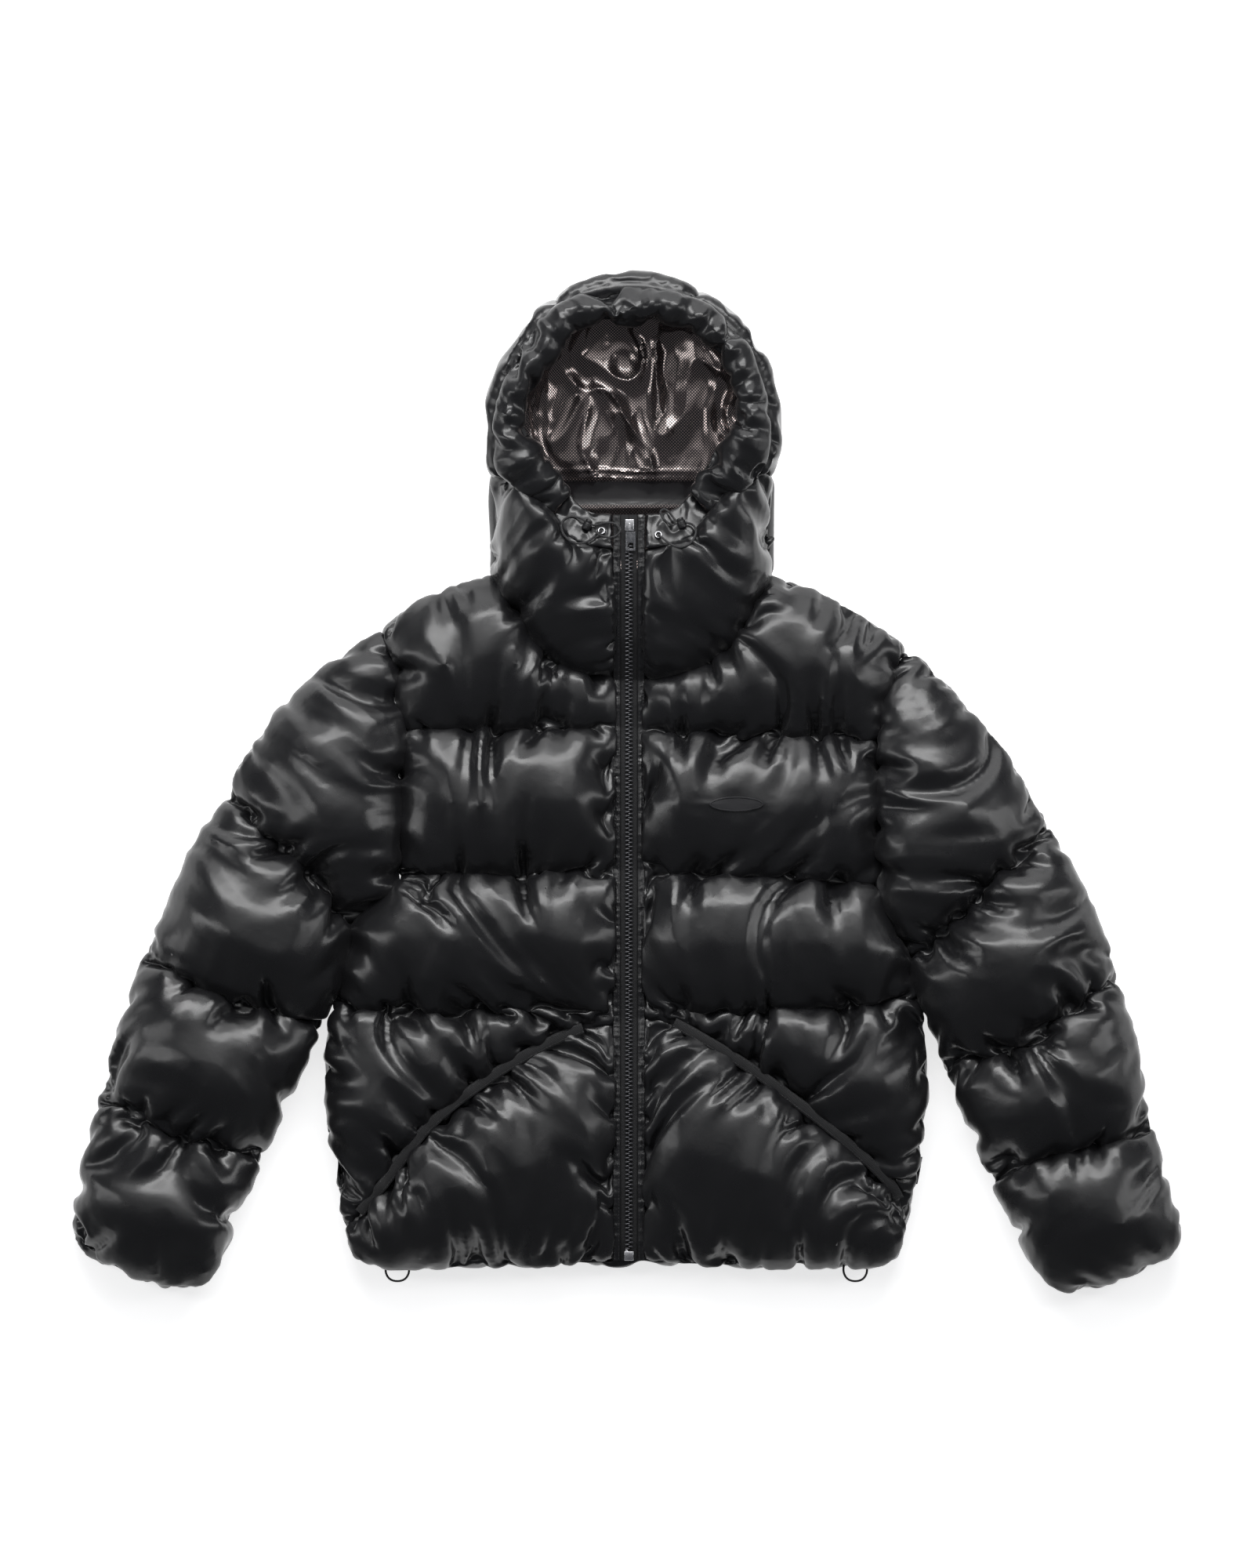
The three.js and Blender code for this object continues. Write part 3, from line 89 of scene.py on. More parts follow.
def select_only(obj):
    """Makes one object the only selected and the active one"""
    bpy.ops.object.select_all(action="DESELECT")
    obj.select_set(True)
    bpy.context.view_layer.objects.active = obj


def new_object(name, mesh):
    obj = bpy.data.objects.new(name, mesh)
    bpy.context.scene.collection.objects.link(obj)
    return obj


def mesh_object(name, points, faces):
    mesh = bpy.data.meshes.new(name)
    mesh.from_pydata([tuple(p) for p in points], [], [tuple(f) for f in faces])
    mesh.update()
    return new_object(name, mesh)


def apply_modifier(obj, kind, **values):
    """Adds one modifier with its values and applies it"""
    select_only(obj)
    modifier = obj.modifiers.new(kind.lower(), kind)
    for key, value in values.items():
        setattr(modifier, key, value)
    bpy.ops.object.modifier_apply(modifier=modifier.name)


def merged_copy(node, name):
    """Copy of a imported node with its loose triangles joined"""
    mesh = frame["nodes"][node].data.copy()
    mesh.materials.clear()
    obj = new_object(name, mesh)
    work = bmesh.new()
    work.from_mesh(mesh)
    bmesh.ops.remove_doubles(work, verts=work.verts, dist=2e-5)
    work.to_mesh(mesh)
    work.free()
    return obj


def is_sewn(edge, valley=math.radians(58), corner=math.radians(40), upright=0.35):
    """True in the valley of a quilting line, and where a side wall meets a panel's face"""
    if len(edge.link_faces) != 2:
        return False
    angle = edge.calc_face_angle(0)
    steep = [abs(face.normal.z) < upright for face in edge.link_faces]
    return (angle > valley and not edge.is_convex) or (angle > corner and steep[0] != steep[1])


def seam_line(obj, step=1.5 * MM):
    """Points and directions along the lines where a piece is sewn"""
    work = bmesh.new()
    work.from_mesh(obj.data)
    points, ways = [], []
    for edge in work.edges:
        if is_sewn(edge):
            a, b = (v.co.copy() for v in edge.verts)
            steps = max(1, int((b - a).length / step))
            for i in range(steps + 1):
                points.append(a.lerp(b, i / steps))
                ways.append((b - a).normalized())
    work.free()
    return points, ways


def nearest_seam(points, seam):
    """Nearest seam point, its direction and its distance for each point"""
    tree = KDTree(len(seam[0]))
    for i, point in enumerate(seam[0]):
        tree.insert(point, i)
    tree.balance()
    found = [tree.find(Vector(p)) for p in points]
    near = np.array([f[0] for f in found])
    way = np.array([seam[1][f[1]] for f in found])
    return near, way, np.array([f[2] for f in found])


def mesh_arrays(mesh):
    points = np.empty(len(mesh.vertices) * 3)
    mesh.vertices.foreach_get("co", points)
    faces = np.array([p.vertices[:] for p in mesh.polygons if len(p.vertices) == 4])
    return points.reshape(-1, 3), faces


def set_points(mesh, points):
    mesh.vertices.foreach_set("co", points.astype(np.float32).ravel())
    mesh.update()


class Cloth:
    """Sheet of quads that keeps the lengths that it was cut to, and is blown out by its padding"""

    def __init__(self, points, faces):
        self.points = points.copy()
        self.faces = faces
        pairs = np.concatenate([
            faces[:, [0, 1]], faces[:, [1, 2]], faces[:, [2, 3]], faces[:, [3, 0]],
            faces[:, [0, 2]], faces[:, [1, 3]],
        ])
        pairs = np.unique(np.sort(pairs, axis=1), axis=0)
        both = np.concatenate([pairs, pairs[:, ::-1]])
        both = both[np.argsort(both[:, 0], kind="stable")]
        self.near, self.far = both[:, 0], both[:, 1]
        self.starts = np.searchsorted(self.near, np.arange(len(points)))
        self.valence = np.bincount(self.near, minlength=len(points))[:, None]
        self.cut = np.linalg.norm(points[self.far] - points[self.near], axis=1)
        self.held = np.zeros(len(points), bool)

    def lengthen(self, way, along, across):
        """Adds cloth along a direction at each point, and over the whole sheet"""
        run = self.points[self.far] - self.points[self.near]
        run /= np.maximum(np.linalg.norm(run, axis=1), 1e-9)[:, None]
        share = np.einsum("ij,ij->i", run, way[self.near]) ** 2
        self.cut *= 1 + share * along[self.near] + across

    def streaks(self, scale, across, rounds, seed, narrow=9.0):
        """Noise drawn out into long streaks square to a direction, with a spread of one"""
        values = np.array([noise.noise(Vector(p) * scale + Vector((seed, seed, seed))) for p in self.points])
        run = self.points[self.far] - self.points[self.near]
        run /= np.maximum(np.linalg.norm(run, axis=1), 1e-9)[:, None]
        weight = np.exp(-narrow * np.einsum("ij,ij->i", run, across[self.near]) ** 2)
        total = np.maximum(self.sums(weight), 1e-9)
        for _ in range(rounds):
            values = 0.4 * values + 0.6 * self.sums(weight * values[self.far]) / total
        return (values - values.mean()) / max(values.std(), 1e-9)

    def sums(self, values):
        return np.add.reduceat(values, self.starts, axis=0)

    def evened(self, points):
        return self.sums(points[self.far]) / self.valence - points

    def normals(self):
        corner = self.points[self.faces]
        cross = np.cross(corner[:, 2] - corner[:, 0], corner[:, 3] - corner[:, 1])
        total = np.stack([
            np.bincount(self.faces.ravel(), np.repeat(cross[:, k], 4), len(self.points)) for k in range(3)
        ], axis=1)
        return total / np.maximum(np.linalg.norm(total, axis=1), 1e-12)[:, None]

    def settle(self, steps, air, stiff, floor=None):
        """Moves the free points until the sheet is close to its cut lengths"""
        free = (~self.held)[:, None]
        speed = np.zeros_like(self.points)
        for step in range(steps):
            if step % 4 == 0:
                push = self.normals() * air
            before = self.points.copy()
            self.points = self.points + free * (push + 0.86 * speed)
            for _ in range(3):
                run = self.points[self.far] - self.points[self.near]
                length = np.maximum(np.linalg.norm(run, axis=1), 1e-9)
                pull = run * (0.5 * (1 - self.cut / length))[:, None]
                self.points = self.points + free * self.sums(pull) * 1.7 / self.valence
            bend = self.evened(self.points)
            self.points = self.points - free * stiff * self.evened(bend)
            if floor is not None:
                self.points[:, 2] = np.maximum(self.points[:, 2], floor)
            speed = self.points - before


def crease(place):
    """Noise with sharp valleys and rounded ridges, from -1 to 1"""
    return 1 - 3.2 * abs(noise.noise(place))


def ridged(values):
    """Sharp crests and rounded hollows from smooth values"""
    return 1 - 1.5 * np.abs(values)


def fold_ways(points, seam, soft=14 * MM, zip_share=0.15):
    """Direction square to which the cloth folds at each point, from all the seams round it"""
    places = np.array(seam[0])[::5]
    ways = np.array(seam[1])[::5]
    beside_zip = (np.abs(places[:, 0]) < 20 * MM) & (np.abs(ways[:, 1]) > 0.8)
    share = np.where(beside_zip, zip_share, 1.0)[:, None]
    spread = (ways[:, :, None] * ways[:, None, :]).reshape(-1, 9) * share
    total = []
    for block in np.array_split(points, len(points) // 1500 + 1):
        gap = np.linalg.norm(block[:, None] - places[None], axis=2)
        total.append((1 / (gap + soft) ** 3) @ spread)
    return np.linalg.eigh(np.concatenate(total).reshape(-1, 3, 3))[1][:, :, 2]


def oval(share, count=64):
    """Points of the chest patch's edge in metres at a share of its size"""
    angles = [2 * math.pi * i / count for i in range(count)]
    return [((PATCH["x"] + share * PATCH["length"] / 2 * math.cos(a)) * MM,
             (PATCH["y"] + share * PATCH["width"] / 2 * math.sin(a)) * MM) for a in angles]


def patch_reach(points):
    """Distance from the middle of the chest patch, in shares of its size, and the angle round it"""
    x = (points[:, 0] / MM - PATCH["x"]) / (PATCH["length"] / 2)
    y = (points[:, 1] / MM - PATCH["y"]) / (PATCH["width"] / 2)
    return np.hypot(x, y), np.arctan2(y, x)


def patch_puckers(points):
    """Small folds that run out from the chest patch"""
    reach, angle = patch_reach(points)
    waves = np.array([noise.noise(Vector((4.5 * math.cos(a), 4.5 * math.sin(a), 2))) for a in angle])
    return waves * np.exp(-np.abs(reach - 1.1) / 0.5)


def turned(across, normal, points, bend=0.75):
    """Directions turned this way and that in the cloth's face"""
    angle = np.array([bend * noise.noise(Vector(p) * 11 + Vector((5, 2, 8))) for p in points])[:, None]
    side = np.cross(normal, across)
    return np.cos(angle * 1.6) * across + np.sin(angle * 1.6) * side


BY_LINING = ("back", "neck_back", "hood_centre", "hood_side_right", "hood_side_left")


def by_lining(points, reach=9 * MM):
    """True for the points that the hood's lining lies on"""
    work = bmesh.new()
    work.from_mesh(frame["nodes"]["hood_lining"].data)
    tree = BVHTree.FromBMesh(work)
    work.free()
    return np.array([tree.find_nearest(Vector(p), reach)[0] is not None for p in points])


def underside_faces(mesh, level):
    """Faces of the plain inside of a panel, which never shows"""
    return [p.index for p in mesh.polygons if p.normal.z < -0.9 and abs(p.center.z - level) < 1.2 * MM]


def drop_faces(obj, indices):
    work = bmesh.new()
    work.from_mesh(obj.data)
    work.faces.ensure_lookup_table()
    bmesh.ops.delete(work, geom=[work.faces[i] for i in indices], context="FACES")
    work.to_mesh(obj.data)
    work.free()


def close_holes(obj):
    work = bmesh.new()
    work.from_mesh(obj.data)
    edges = [e for e in work.edges if e.is_boundary]
    if edges:
        bmesh.ops.holes_fill(work, edges=edges, sides=0)
    bmesh.ops.recalc_face_normals(work, faces=work.faces)
    work.to_mesh(obj.data)
    work.free()


def rim_points(mesh):
    """True for the points on the open border of a sheet"""
    work = bmesh.new()
    work.from_mesh(mesh)
    rim = np.array([v.is_boundary for v in work.verts])
    work.free()
    return rim


def padded_shell(row, settings):
    """Blown-out cloth over one padded node, gathered along its seams"""
    obj = merged_copy(row["node"], row["node"] + "_shell")
    seam = seam_line(obj)
    apply_modifier(obj, "REMESH", mode="VOXEL", voxel_size=row["grain"] * MM)
    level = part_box(row["node"])[0].z
    hidden = underside_faces(obj.data, level) if level > 20 * MM else []
    if hidden:
        drop_faces(obj, hidden)
    points, faces = mesh_arrays(obj.data)
    near, way, distance = nearest_seam(points, seam)
    snap = distance < 0.62 * row["grain"] * MM
    points[snap] += 0.8 * (near[snap] - points[snap])
    sheet = Cloth(points, faces)
    normal = sheet.normals()
    sheet.held = snap | (normal[:, 2] < -0.6) | rim_points(obj.data)
    if row["node"] in BY_LINING:
        sheet.held |= by_lining(points)
    close = np.exp(-distance / (45 * MM))
    rolled = 0.10 * np.exp(-distance / (14 * MM))
    across = turned(fold_ways(points, seam), normal, points)
    sheet.lengthen(across, settings.gather * row["gather"] / 0.2 * close + row["slack"], 0.012 + rolled[sheet.near])
    free = ~sheet.held[:, None]
    start = sheet.points.copy()
    for _ in range(14 if row["grain"] > 3.3 else 6):
        sheet.points += 0.5 * free * sheet.evened(sheet.points)
    fine = sheet.streaks(150, across, 40, 3) * row["fine"]
    long = ridged(sheet.streaks(62, across, 170, 11)) * row["fold"]
    short = ridged(sheet.streaks(110, across, 70, 17)) * row["fold"]
    broad = sheet.streaks(27, across, 220, 23) * row["fold"]
    edge = np.minimum(1, distance / (7 * MM))
    beside = np.exp(-distance / (16 * MM))
    seed = 1.3 * fine * beside + 2.4 * long * (0.5 + 0.5 * close) + 2.4 * broad
    sheet.points = sheet.points + free * normal * (edge * seed * MM)[:, None]
    sheet.settle(settings.steps, 0.016 * MM * row["air"], 0.10, 0.0)
    relief = 0.35 * fine * (0.25 + 0.75 * beside) + settings.folds * long * (0.5 + 0.5 * close)
    relief += 0.32 * settings.folds * short * (0.4 + 0.6 * close)
    sheet.points = sheet.points + free * sheet.normals() * (edge * relief * MM)[:, None]
    if row["node"] == PATCH["node"]:
        flat = np.clip(1.9 - patch_reach(points)[0], 0, 1)[:, None]
        for _ in range(60):
            sheet.points += 0.8 * flat * sheet.evened(sheet.points)
        sheet.points += sheet.normals() * (1.8 * MM * patch_puckers(points))[:, None]
    moved = sheet.points - start
    reach = np.linalg.norm(moved, axis=1)[:, None]
    limit = settings.rise
    sheet.points = start + moved * (limit * np.tanh(reach / limit) / np.maximum(reach, 1e-9))
    normal = sheet.normals()
    wall = np.clip((0.75 - np.abs(normal[:, 2])) / 0.35, 0, 1)[:, None]
    sheet.points = sheet.points + wall * normal * (1, 1, 0) * settings.swell
    set_points(obj.data, sheet.points)
    apply_modifier(obj, "SUBSURF", levels=1, render_levels=1)
    apply_modifier(obj, "DECIMATE", decimate_type="COLLAPSE", ratio=row["kept"])
    close_holes(obj)
    select_only(obj)
    bpy.ops.object.shade_smooth()
    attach(obj, BODY)
    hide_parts(row["node"])
    return obj


class Finish:
    """One node material, built up from its principled shader"""

    def __init__(self, name, **sockets):
        self.material = bpy.data.materials.new(name)
        self.material.use_nodes = True
        self.tree = self.material.node_tree
        self.shader = self.tree.nodes["Principled BSDF"]
        for key, value in sockets.items():
            self.shader.inputs[key.replace("_", " ")].default_value = value
        self.place = self.add("ShaderNodeTexCoord").outputs["Object"]

    def add(self, kind, sockets=None, **values):
        node = self.tree.nodes.new(kind)
        for key, value in values.items():
            setattr(node, key, value)
        for key, value in (sockets or {}).items():
            if isinstance(value, bpy.types.NodeSocket):
                self.tree.links.new(value, node.inputs[key])
            else:
                node.inputs[key].default_value = value
        return node

    def link(self, source, socket):
        self.tree.links.new(source, self.shader.inputs[socket])

    def noise(self, scale, detail=2.0, rough=0.5, bend=0.0, kind="FBM", place=None):
        return self.add("ShaderNodeTexNoise", {
            "Vector": place or self.place, "Scale": scale, "Detail": detail, "Roughness": rough, "Distortion": bend,
        }, noise_type=kind).outputs["Fac"]

    def range(self, source, low, high, start, end):
        return self.add("ShaderNodeMapRange", {
            "Value": source, "From Min": low, "From Max": high, "To Min": start, "To Max": end,
        }).outputs["Result"]

    def blend(self, share, first, second):
        node = self.add("ShaderNodeMix", {0: share, 6: first, 7: second}, data_type="RGBA")
        return node.outputs[2]

    def bump(self, heights):
        """Chains bumps of [height, strength, distance] into the shader's normal"""
        normal = None
        for height, strength, distance in heights:
            sockets = {"Height": height, "Strength": strength, "Distance": distance}
            if normal is not None:
                sockets["Normal"] = normal
            normal = self.add("ShaderNodeBump", sockets).outputs["Normal"]
        self.link(normal, "Normal")
        return self


def dark(colour, share):
    return tuple(c * share for c in colour[:3]) + (1.0,)


def coated_nylon(settings):
    """Glossy coated nylon with small hard creases and a fine weave"""
    finish = Finish("coated_nylon", Coat_Weight=0.2, Coat_Roughness=0.2, Coat_IOR=1.5, Sheen_Weight=0.03)
    cloud = finish.noise(9, 3)
    finish.link(finish.blend(cloud, dark(settings.cloth, 0.7), dark(settings.cloth, 1.3)), "Base Color")
    finish.link(finish.range(finish.noise(26, 3), 0.3, 0.7, 0.24, 0.36), "Roughness")
    crease = finish.noise(62, 3, 0.45, 0.9, "RIDGED_MULTIFRACTAL")
    wrinkle = finish.noise(190, 2, 0.5, 0.4)
    weave = finish.noise(1700, 1)
    return finish.bump([(crease, 0.10, 0.0012), (wrinkle, 0.10, 0.0006), (weave, 0.10, 0.0001)]).material


def dress(obj, material):
    obj.data.materials.clear()
    obj.data.materials.append(material)
    return obj


class JacketSettings(bpy.types.PropertyGroup):
    """Sizes and colours that a user would change"""

    cloth: FloatVectorProperty(
        name="Cloth", description="Colour of the glossy cloth", subtype="COLOR", size=3, default=(0.007, 0.007, 0.008))
    trim: FloatVectorProperty(
        name="Trim", description="Colour of tapes and trims", subtype="COLOR", size=3, default=(0.009, 0.009, 0.010))
    dots: FloatVectorProperty(
        name="Dots", description="Colour of the lining's dots", subtype="COLOR", size=3, default=(0.55, 0.43, 0.40))
    dot_pitch: FloatProperty(
        name="Dot pitch", description="Distance between the lining's dots", unit="LENGTH", default=0.0022, min=0.0005)
    metal: FloatVectorProperty(
        name="Metal", description="Colour of slider, tab and eyelets", subtype="COLOR", size=3, default=(0.6, 0.6, 0.62))
    teeth: FloatVectorProperty(
        name="Teeth", description="Colour of the zip's teeth", subtype="COLOR", size=3, default=(0.14, 0.14, 0.15))
    gather: FloatProperty(
        name="Gather", description="Extra cloth sewn into each seam", subtype="FACTOR", default=0.2, min=0, max=0.5)
    rise: FloatProperty(
        name="Rise", description="Most that the padding lifts the cloth", unit="LENGTH", default=0.011, min=0.001)
    folds: FloatProperty(
        name="Folds", description="Height in mm of the long folds", default=1.5, min=0)
    swell: FloatProperty(
        name="Swell", description="How far the side walls press outwards", unit="LENGTH", default=0.0024, min=0)
    steps: IntProperty(
        name="Settling steps", description="Steps in which the cloth finds its folds", default=70, min=1)
    floor: FloatVectorProperty(
        name="Floor", description="Colour of the floor", subtype="COLOR", size=3, default=(0.9, 0.9, 0.9))
    light: FloatProperty(
        name="Light", description="Power of the large soft light", unit="POWER", default=60, min=0)


class JACKET_OT_camera(bpy.types.Operator):
    """Sets the camera straight above the jacket"""

    bl_idname = "jacket.camera"
    bl_label = "Camera above the jacket"

    def execute(self, context):
        data = bpy.data.cameras.new("camera")
        data.type = "ORTHO"
        data.ortho_scale = 1.56
        data.clip_start = 0.05
        data.clip_end = 20
        camera = new_object("camera", data)
        camera.location = (-0.00195, 0, 2.5)
        context.scene.camera = camera
        return {"FINISHED"}


def area_light(name, place, aim, size, power, colour=(1, 1, 1)):
    data = bpy.data.lights.new(name, "AREA")
    data.shape = "RECTANGLE"
    data.size, data.size_y = size
    data.energy = power
    data.color = colour
    light = new_object(name, data)
    light.location = place
    light.rotation_euler = (Vector(aim) - Vector(place)).to_track_quat("-Z", "Y").to_euler()
    return light


# Soft lights: place, size, and share of the power
LIGHTS = [
    ("top_light", (0, 1.6, 1.5), (2.2, 0.6), 0.55),
    ("wide_light", (0, 1.7, 1.3), (2.8, 1.9), 0.18),
    ("low_light", (0, 2.4, 0.55), (2.8, 1.0), 0.2),
    ("overhead_light", (0, 0.95, 3.4), (3.2, 1.8), 0.09),
    ("high_light", (0, 1.5, 2.9), (3.2, 1.6), 0.12),
    ("right_light", (-2.0, 0.1, 1.3), (0.45, 2.0), 0.16),
    ("left_light", (2.0, 0.3, 1.3), (0.45, 2.0), 0.16),
]


class JACKET_OT_stage(bpy.types.Operator):
    """Adds the pale floor and the soft studio light"""

    bl_idname = "jacket.stage"
    bl_label = "Floor and soft light"

    def execute(self, context):
        settings = context.scene.jacket
        bpy.ops.mesh.primitive_plane_add(size=12, location=(0, 0, -0.0006))
        floor = context.object
        floor.name = "floor"
        finish = Finish("floor_paper", Roughness=0.9, Emission_Strength=0.7)
        finish.shader.inputs["Emission Color"].default_value = (1, 1, 1, 1)
        finish.link(finish.blend(finish.noise(5), dark(settings.floor, 0.98), dark(settings.floor, 1.0)), "Base Color")
        dress(floor, finish.bump([(finish.noise(400), 0.05, 0.0002)]).material)
        power = settings.light
        for name, place, size, share in LIGHTS:
            area_light(name, place, (0, 0.05, 0), size, power * share)
        world = bpy.data.worlds.new("studio")
        world.use_nodes = True
        world.node_tree.nodes["Background"].inputs["Color"].default_value = (0.9, 0.93, 1.0, 1)
        world.node_tree.nodes["Background"].inputs["Strength"].default_value = 0.12
        context.scene.world = world
        context.scene.view_settings.view_transform = "Standard"
        context.scene.view_settings.look = "None"
        return {"FINISHED"}


class JACKET_OT_shells(bpy.types.Operator):
    """Makes the padded cloth pieces"""

    bl_idname = "jacket.shells"
    bl_label = "Padded cloth"

    def execute(self, context):
        settings = context.scene.jacket
        material = coated_nylon(settings)
        for row in SHELLS:
            dress(padded_shell(row, settings), material)
        return {"FINISHED"}


def woven_tape(settings):
    """Matt black tape with a fine twill"""
    finish = Finish("woven_tape", Roughness=0.82, Sheen_Weight=0.15, Sheen_Roughness=0.5)
    finish.link(finish.blend(finish.noise(140, 3), dark(settings.trim, 0.7), dark(settings.trim, 1.5)), "Base Color")
    twill = finish.add("ShaderNodeTexWave", {
        "Vector": finish.place, "Scale": 260, "Distortion": 0.6, "Detail": 1.0,
    }, bands_direction="DIAGONAL").outputs["Fac"]
    return finish.bump([(finish.noise(300, 2), 0.25, 0.0006), (twill, 0.45, 0.0003)]).material


def dotted_lining(settings):
    """Black lining with a fine print of metallic dots on a slanted grid"""
    finish = Finish("dotted_lining", Coat_Weight=0.35, Coat_Roughness=0.12)
    uv = finish.add("ShaderNodeUVMap", uv_map="cloth").outputs["UV"]
    pitch = settings.dot_pitch
    turned = finish.add("ShaderNodeMapping", {
        "Vector": uv, "Rotation": (0, 0, math.radians(45)), "Scale": (1 / pitch, 1 / pitch, 1),
    }).outputs["Vector"]
    cell = finish.add("ShaderNodeVectorMath", {0: turned}, operation="FRACTION").outputs["Vector"]
    offset = finish.add("ShaderNodeVectorMath", {0: cell, 1: (0.5, 0.5, 0)}, operation="SUBTRACT").outputs["Vector"]
    flat = finish.add("ShaderNodeVectorMath", {0: offset, 1: (1, 1, 0)}, operation="MULTIPLY").outputs["Vector"]
    radius = finish.add("ShaderNodeVectorMath", {0: flat}, operation="LENGTH").outputs["Value"]
    plain = finish.add("ShaderNodeSeparateXYZ", {0: uv}).outputs["Y"]
    above = finish.range(plain, 0.936, 0.940, 0, 1)
    below = finish.range(plain, 0.914, 0.910, 0, 1)
    printed = finish.add("ShaderNodeMath", {0: above, 1: below}, operation="MAXIMUM").outputs["Value"]
    round_dot = finish.range(radius, 0.29, 0.23, 0, 1)
    dot = finish.add("ShaderNodeMath", {0: round_dot, 1: printed}, operation="MULTIPLY").outputs["Value"]
    finish.link(finish.blend(dot, (0.012, 0.011, 0.012, 1), tuple(settings.dots) + (1,)), "Base Color")
    finish.link(dot, "Metallic")
    finish.link(finish.range(finish.noise(40, 2), 0.3, 0.7, 0.14, 0.21), "Roughness")
    return finish.bump([(finish.noise(70, 3, 0.5, 0.6), 0.10, 0.001), (finish.noise(240, 2), 0.08, 0.0005)]).material


def zip_metal(name, colour, roughness):
    """Worn zip metal"""
    finish = Finish(name, Metallic=1.0)
    finish.link(finish.blend(finish.noise(900, 2), dark(colour, 0.75), dark(colour, 1.1)), "Base Color")
    finish.link(finish.range(finish.noise(500, 3), 0.3, 0.7, roughness - 0.07, roughness + 0.09), "Roughness")
    return finish.bump([(finish.noise(2200, 1), 0.12, 0.0001)]).material


def braided_cord(settings):
    """Elastic cord with a fine braid"""
    finish = Finish("braided_cord", Roughness=0.6, Sheen_Weight=0.2)
    finish.link(finish.blend(finish.noise(600), dark(settings.trim, 0.8), dark(settings.trim, 2.2)), "Base Color")
    braid = [finish.add("ShaderNodeTexWave", {
        "Vector": finish.place, "Scale": 330, "Distortion": 1.0,
    }, bands_direction=way).outputs["Fac"] for way in ("DIAGONAL", "X")]
    return finish.bump([(braid[0], 0.5, 0.0003), (braid[1], 0.3, 0.0002)]).material


def moulded_plastic(settings):
    """Black plastic with a fine grain"""
    finish = Finish("moulded_plastic")
    finish.link(finish.blend(finish.noise(80), dark(settings.trim, 0.9), dark(settings.trim, 1.4)), "Base Color")
    finish.link(finish.range(finish.noise(300), 0.3, 0.7, 0.28, 0.42), "Roughness")
    return finish.bump([(finish.noise(1500, 2), 0.15, 0.0001)]).material


def soft_rubber(settings):
    """Matt black rubber"""
    finish = Finish("soft_rubber", Specular_IOR_Level=0.35)
    finish.link(finish.blend(finish.noise(50), dark(settings.trim, 1.8), dark(settings.trim, 2.4)), "Base Color")
    finish.link(finish.range(finish.noise(200), 0.3, 0.7, 0.5, 0.62), "Roughness")
    return finish.bump([(finish.noise(900, 2), 0.2, 0.0002)]).material


def sewing_thread(settings):
    """Black polyester thread with its twist"""
    finish = Finish("sewing_thread", Roughness=0.5, Sheen_Weight=0.2)
    finish.link(finish.blend(finish.noise(500), dark(settings.trim, 1.0), dark(settings.trim, 2.6)), "Base Color")
    twist = finish.add("ShaderNodeTexWave", {"Vector": finish.place, "Scale": 700}, bands_direction="DIAGONAL")
    return finish.bump([(twist.outputs["Fac"], 0.4, 0.0002)]).material


def surface(objects):
    """Function that gives the height of the uppermost of some meshes, or None beside them"""
    trees = []
    for obj in objects:
        work = bmesh.new()
        work.from_mesh(obj.data)
        trees.append(BVHTree.FromBMesh(work))
        work.free()

    def height(x, y):
        hits = [tree.ray_cast(Vector((x, y, 1)), Vector((0, 0, -1)))[0] for tree in trees]
        levels = [hit.z for hit in hits if hit is not None]
        return max(levels) if levels else None

    return height


def ribbon_faces(rows, columns, closed=False):
    """Quads of a grid of points, joined round each row where it is closed"""
    last = columns if closed else columns - 1
    return [
        (r * columns + c, r * columns + (c + 1) % columns, (r + 1) * columns + (c + 1) % columns, (r + 1) * columns + c)
        for r in range(rows - 1) for c in range(last)
    ]


def closed_strip(name, rings):
    """Closed tube of equal rings with flat ends"""
    count = len(rings[0])
    faces = ribbon_faces(len(rings), count, True)
    faces += [tuple(range(count))[::-1], tuple((len(rings) - 1) * count + i for i in range(count))]
    obj = mesh_object(name, [p for ring in rings for p in ring], faces)
    work = bmesh.new()
    work.from_mesh(obj.data)
    bmesh.ops.recalc_face_normals(work, faces=work.faces)
    work.to_mesh(obj.data)
    work.free()
    return obj


def finished(obj, material, slot, *nodes):
    """Gives a piece its material and body, and hides the nodes that it stands for; the slot is not used"""
    dress(obj, material)
    select_only(obj)
    bpy.ops.object.shade_smooth_by_angle(angle=math.radians(42))
    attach(obj, BODY)
    if nodes:
        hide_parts(*nodes)
    return obj


def stitch_row(points, ups, pitch, length, thick):
    """Vertices and faces of the sunk stitches along a line"""
    verts, faces = [], []
    travelled = 0.0
    due = pitch / 2
    for (a, b), up in zip(zip(points, points[1:]), ups):
        run = b - a
        while due <= travelled + run.length:
            way = run.normalized()
            middle = a + way * (due - travelled)
            side = way.cross(up).normalized()
            top = side.cross(way)
            start = len(verts)
            for along, wide, lift in ((-0.5, 0.5, 0.1), (-0.3, 1, 0.8), (0, 1, 1), (0.3, 1, 0.8), (0.5, 0.5, 0.1)):
                for across, rise in ((-1, -0.6), (-1, 0.35), (0, 1), (1, 0.35), (1, -0.6)):
                    verts.append(middle + way * along * length + side * across * wide * thick / 2
                                 + top * (rise * lift) * thick / 2)
            faces += [tuple(start + i for i in face) for face in ribbon_faces(5, 5, True)]
            faces += [tuple(start + i for i in (4, 3, 2, 1, 0)), tuple(start + 20 + i for i in range(5))]
            due += pitch
        travelled += run.length
    return verts, faces


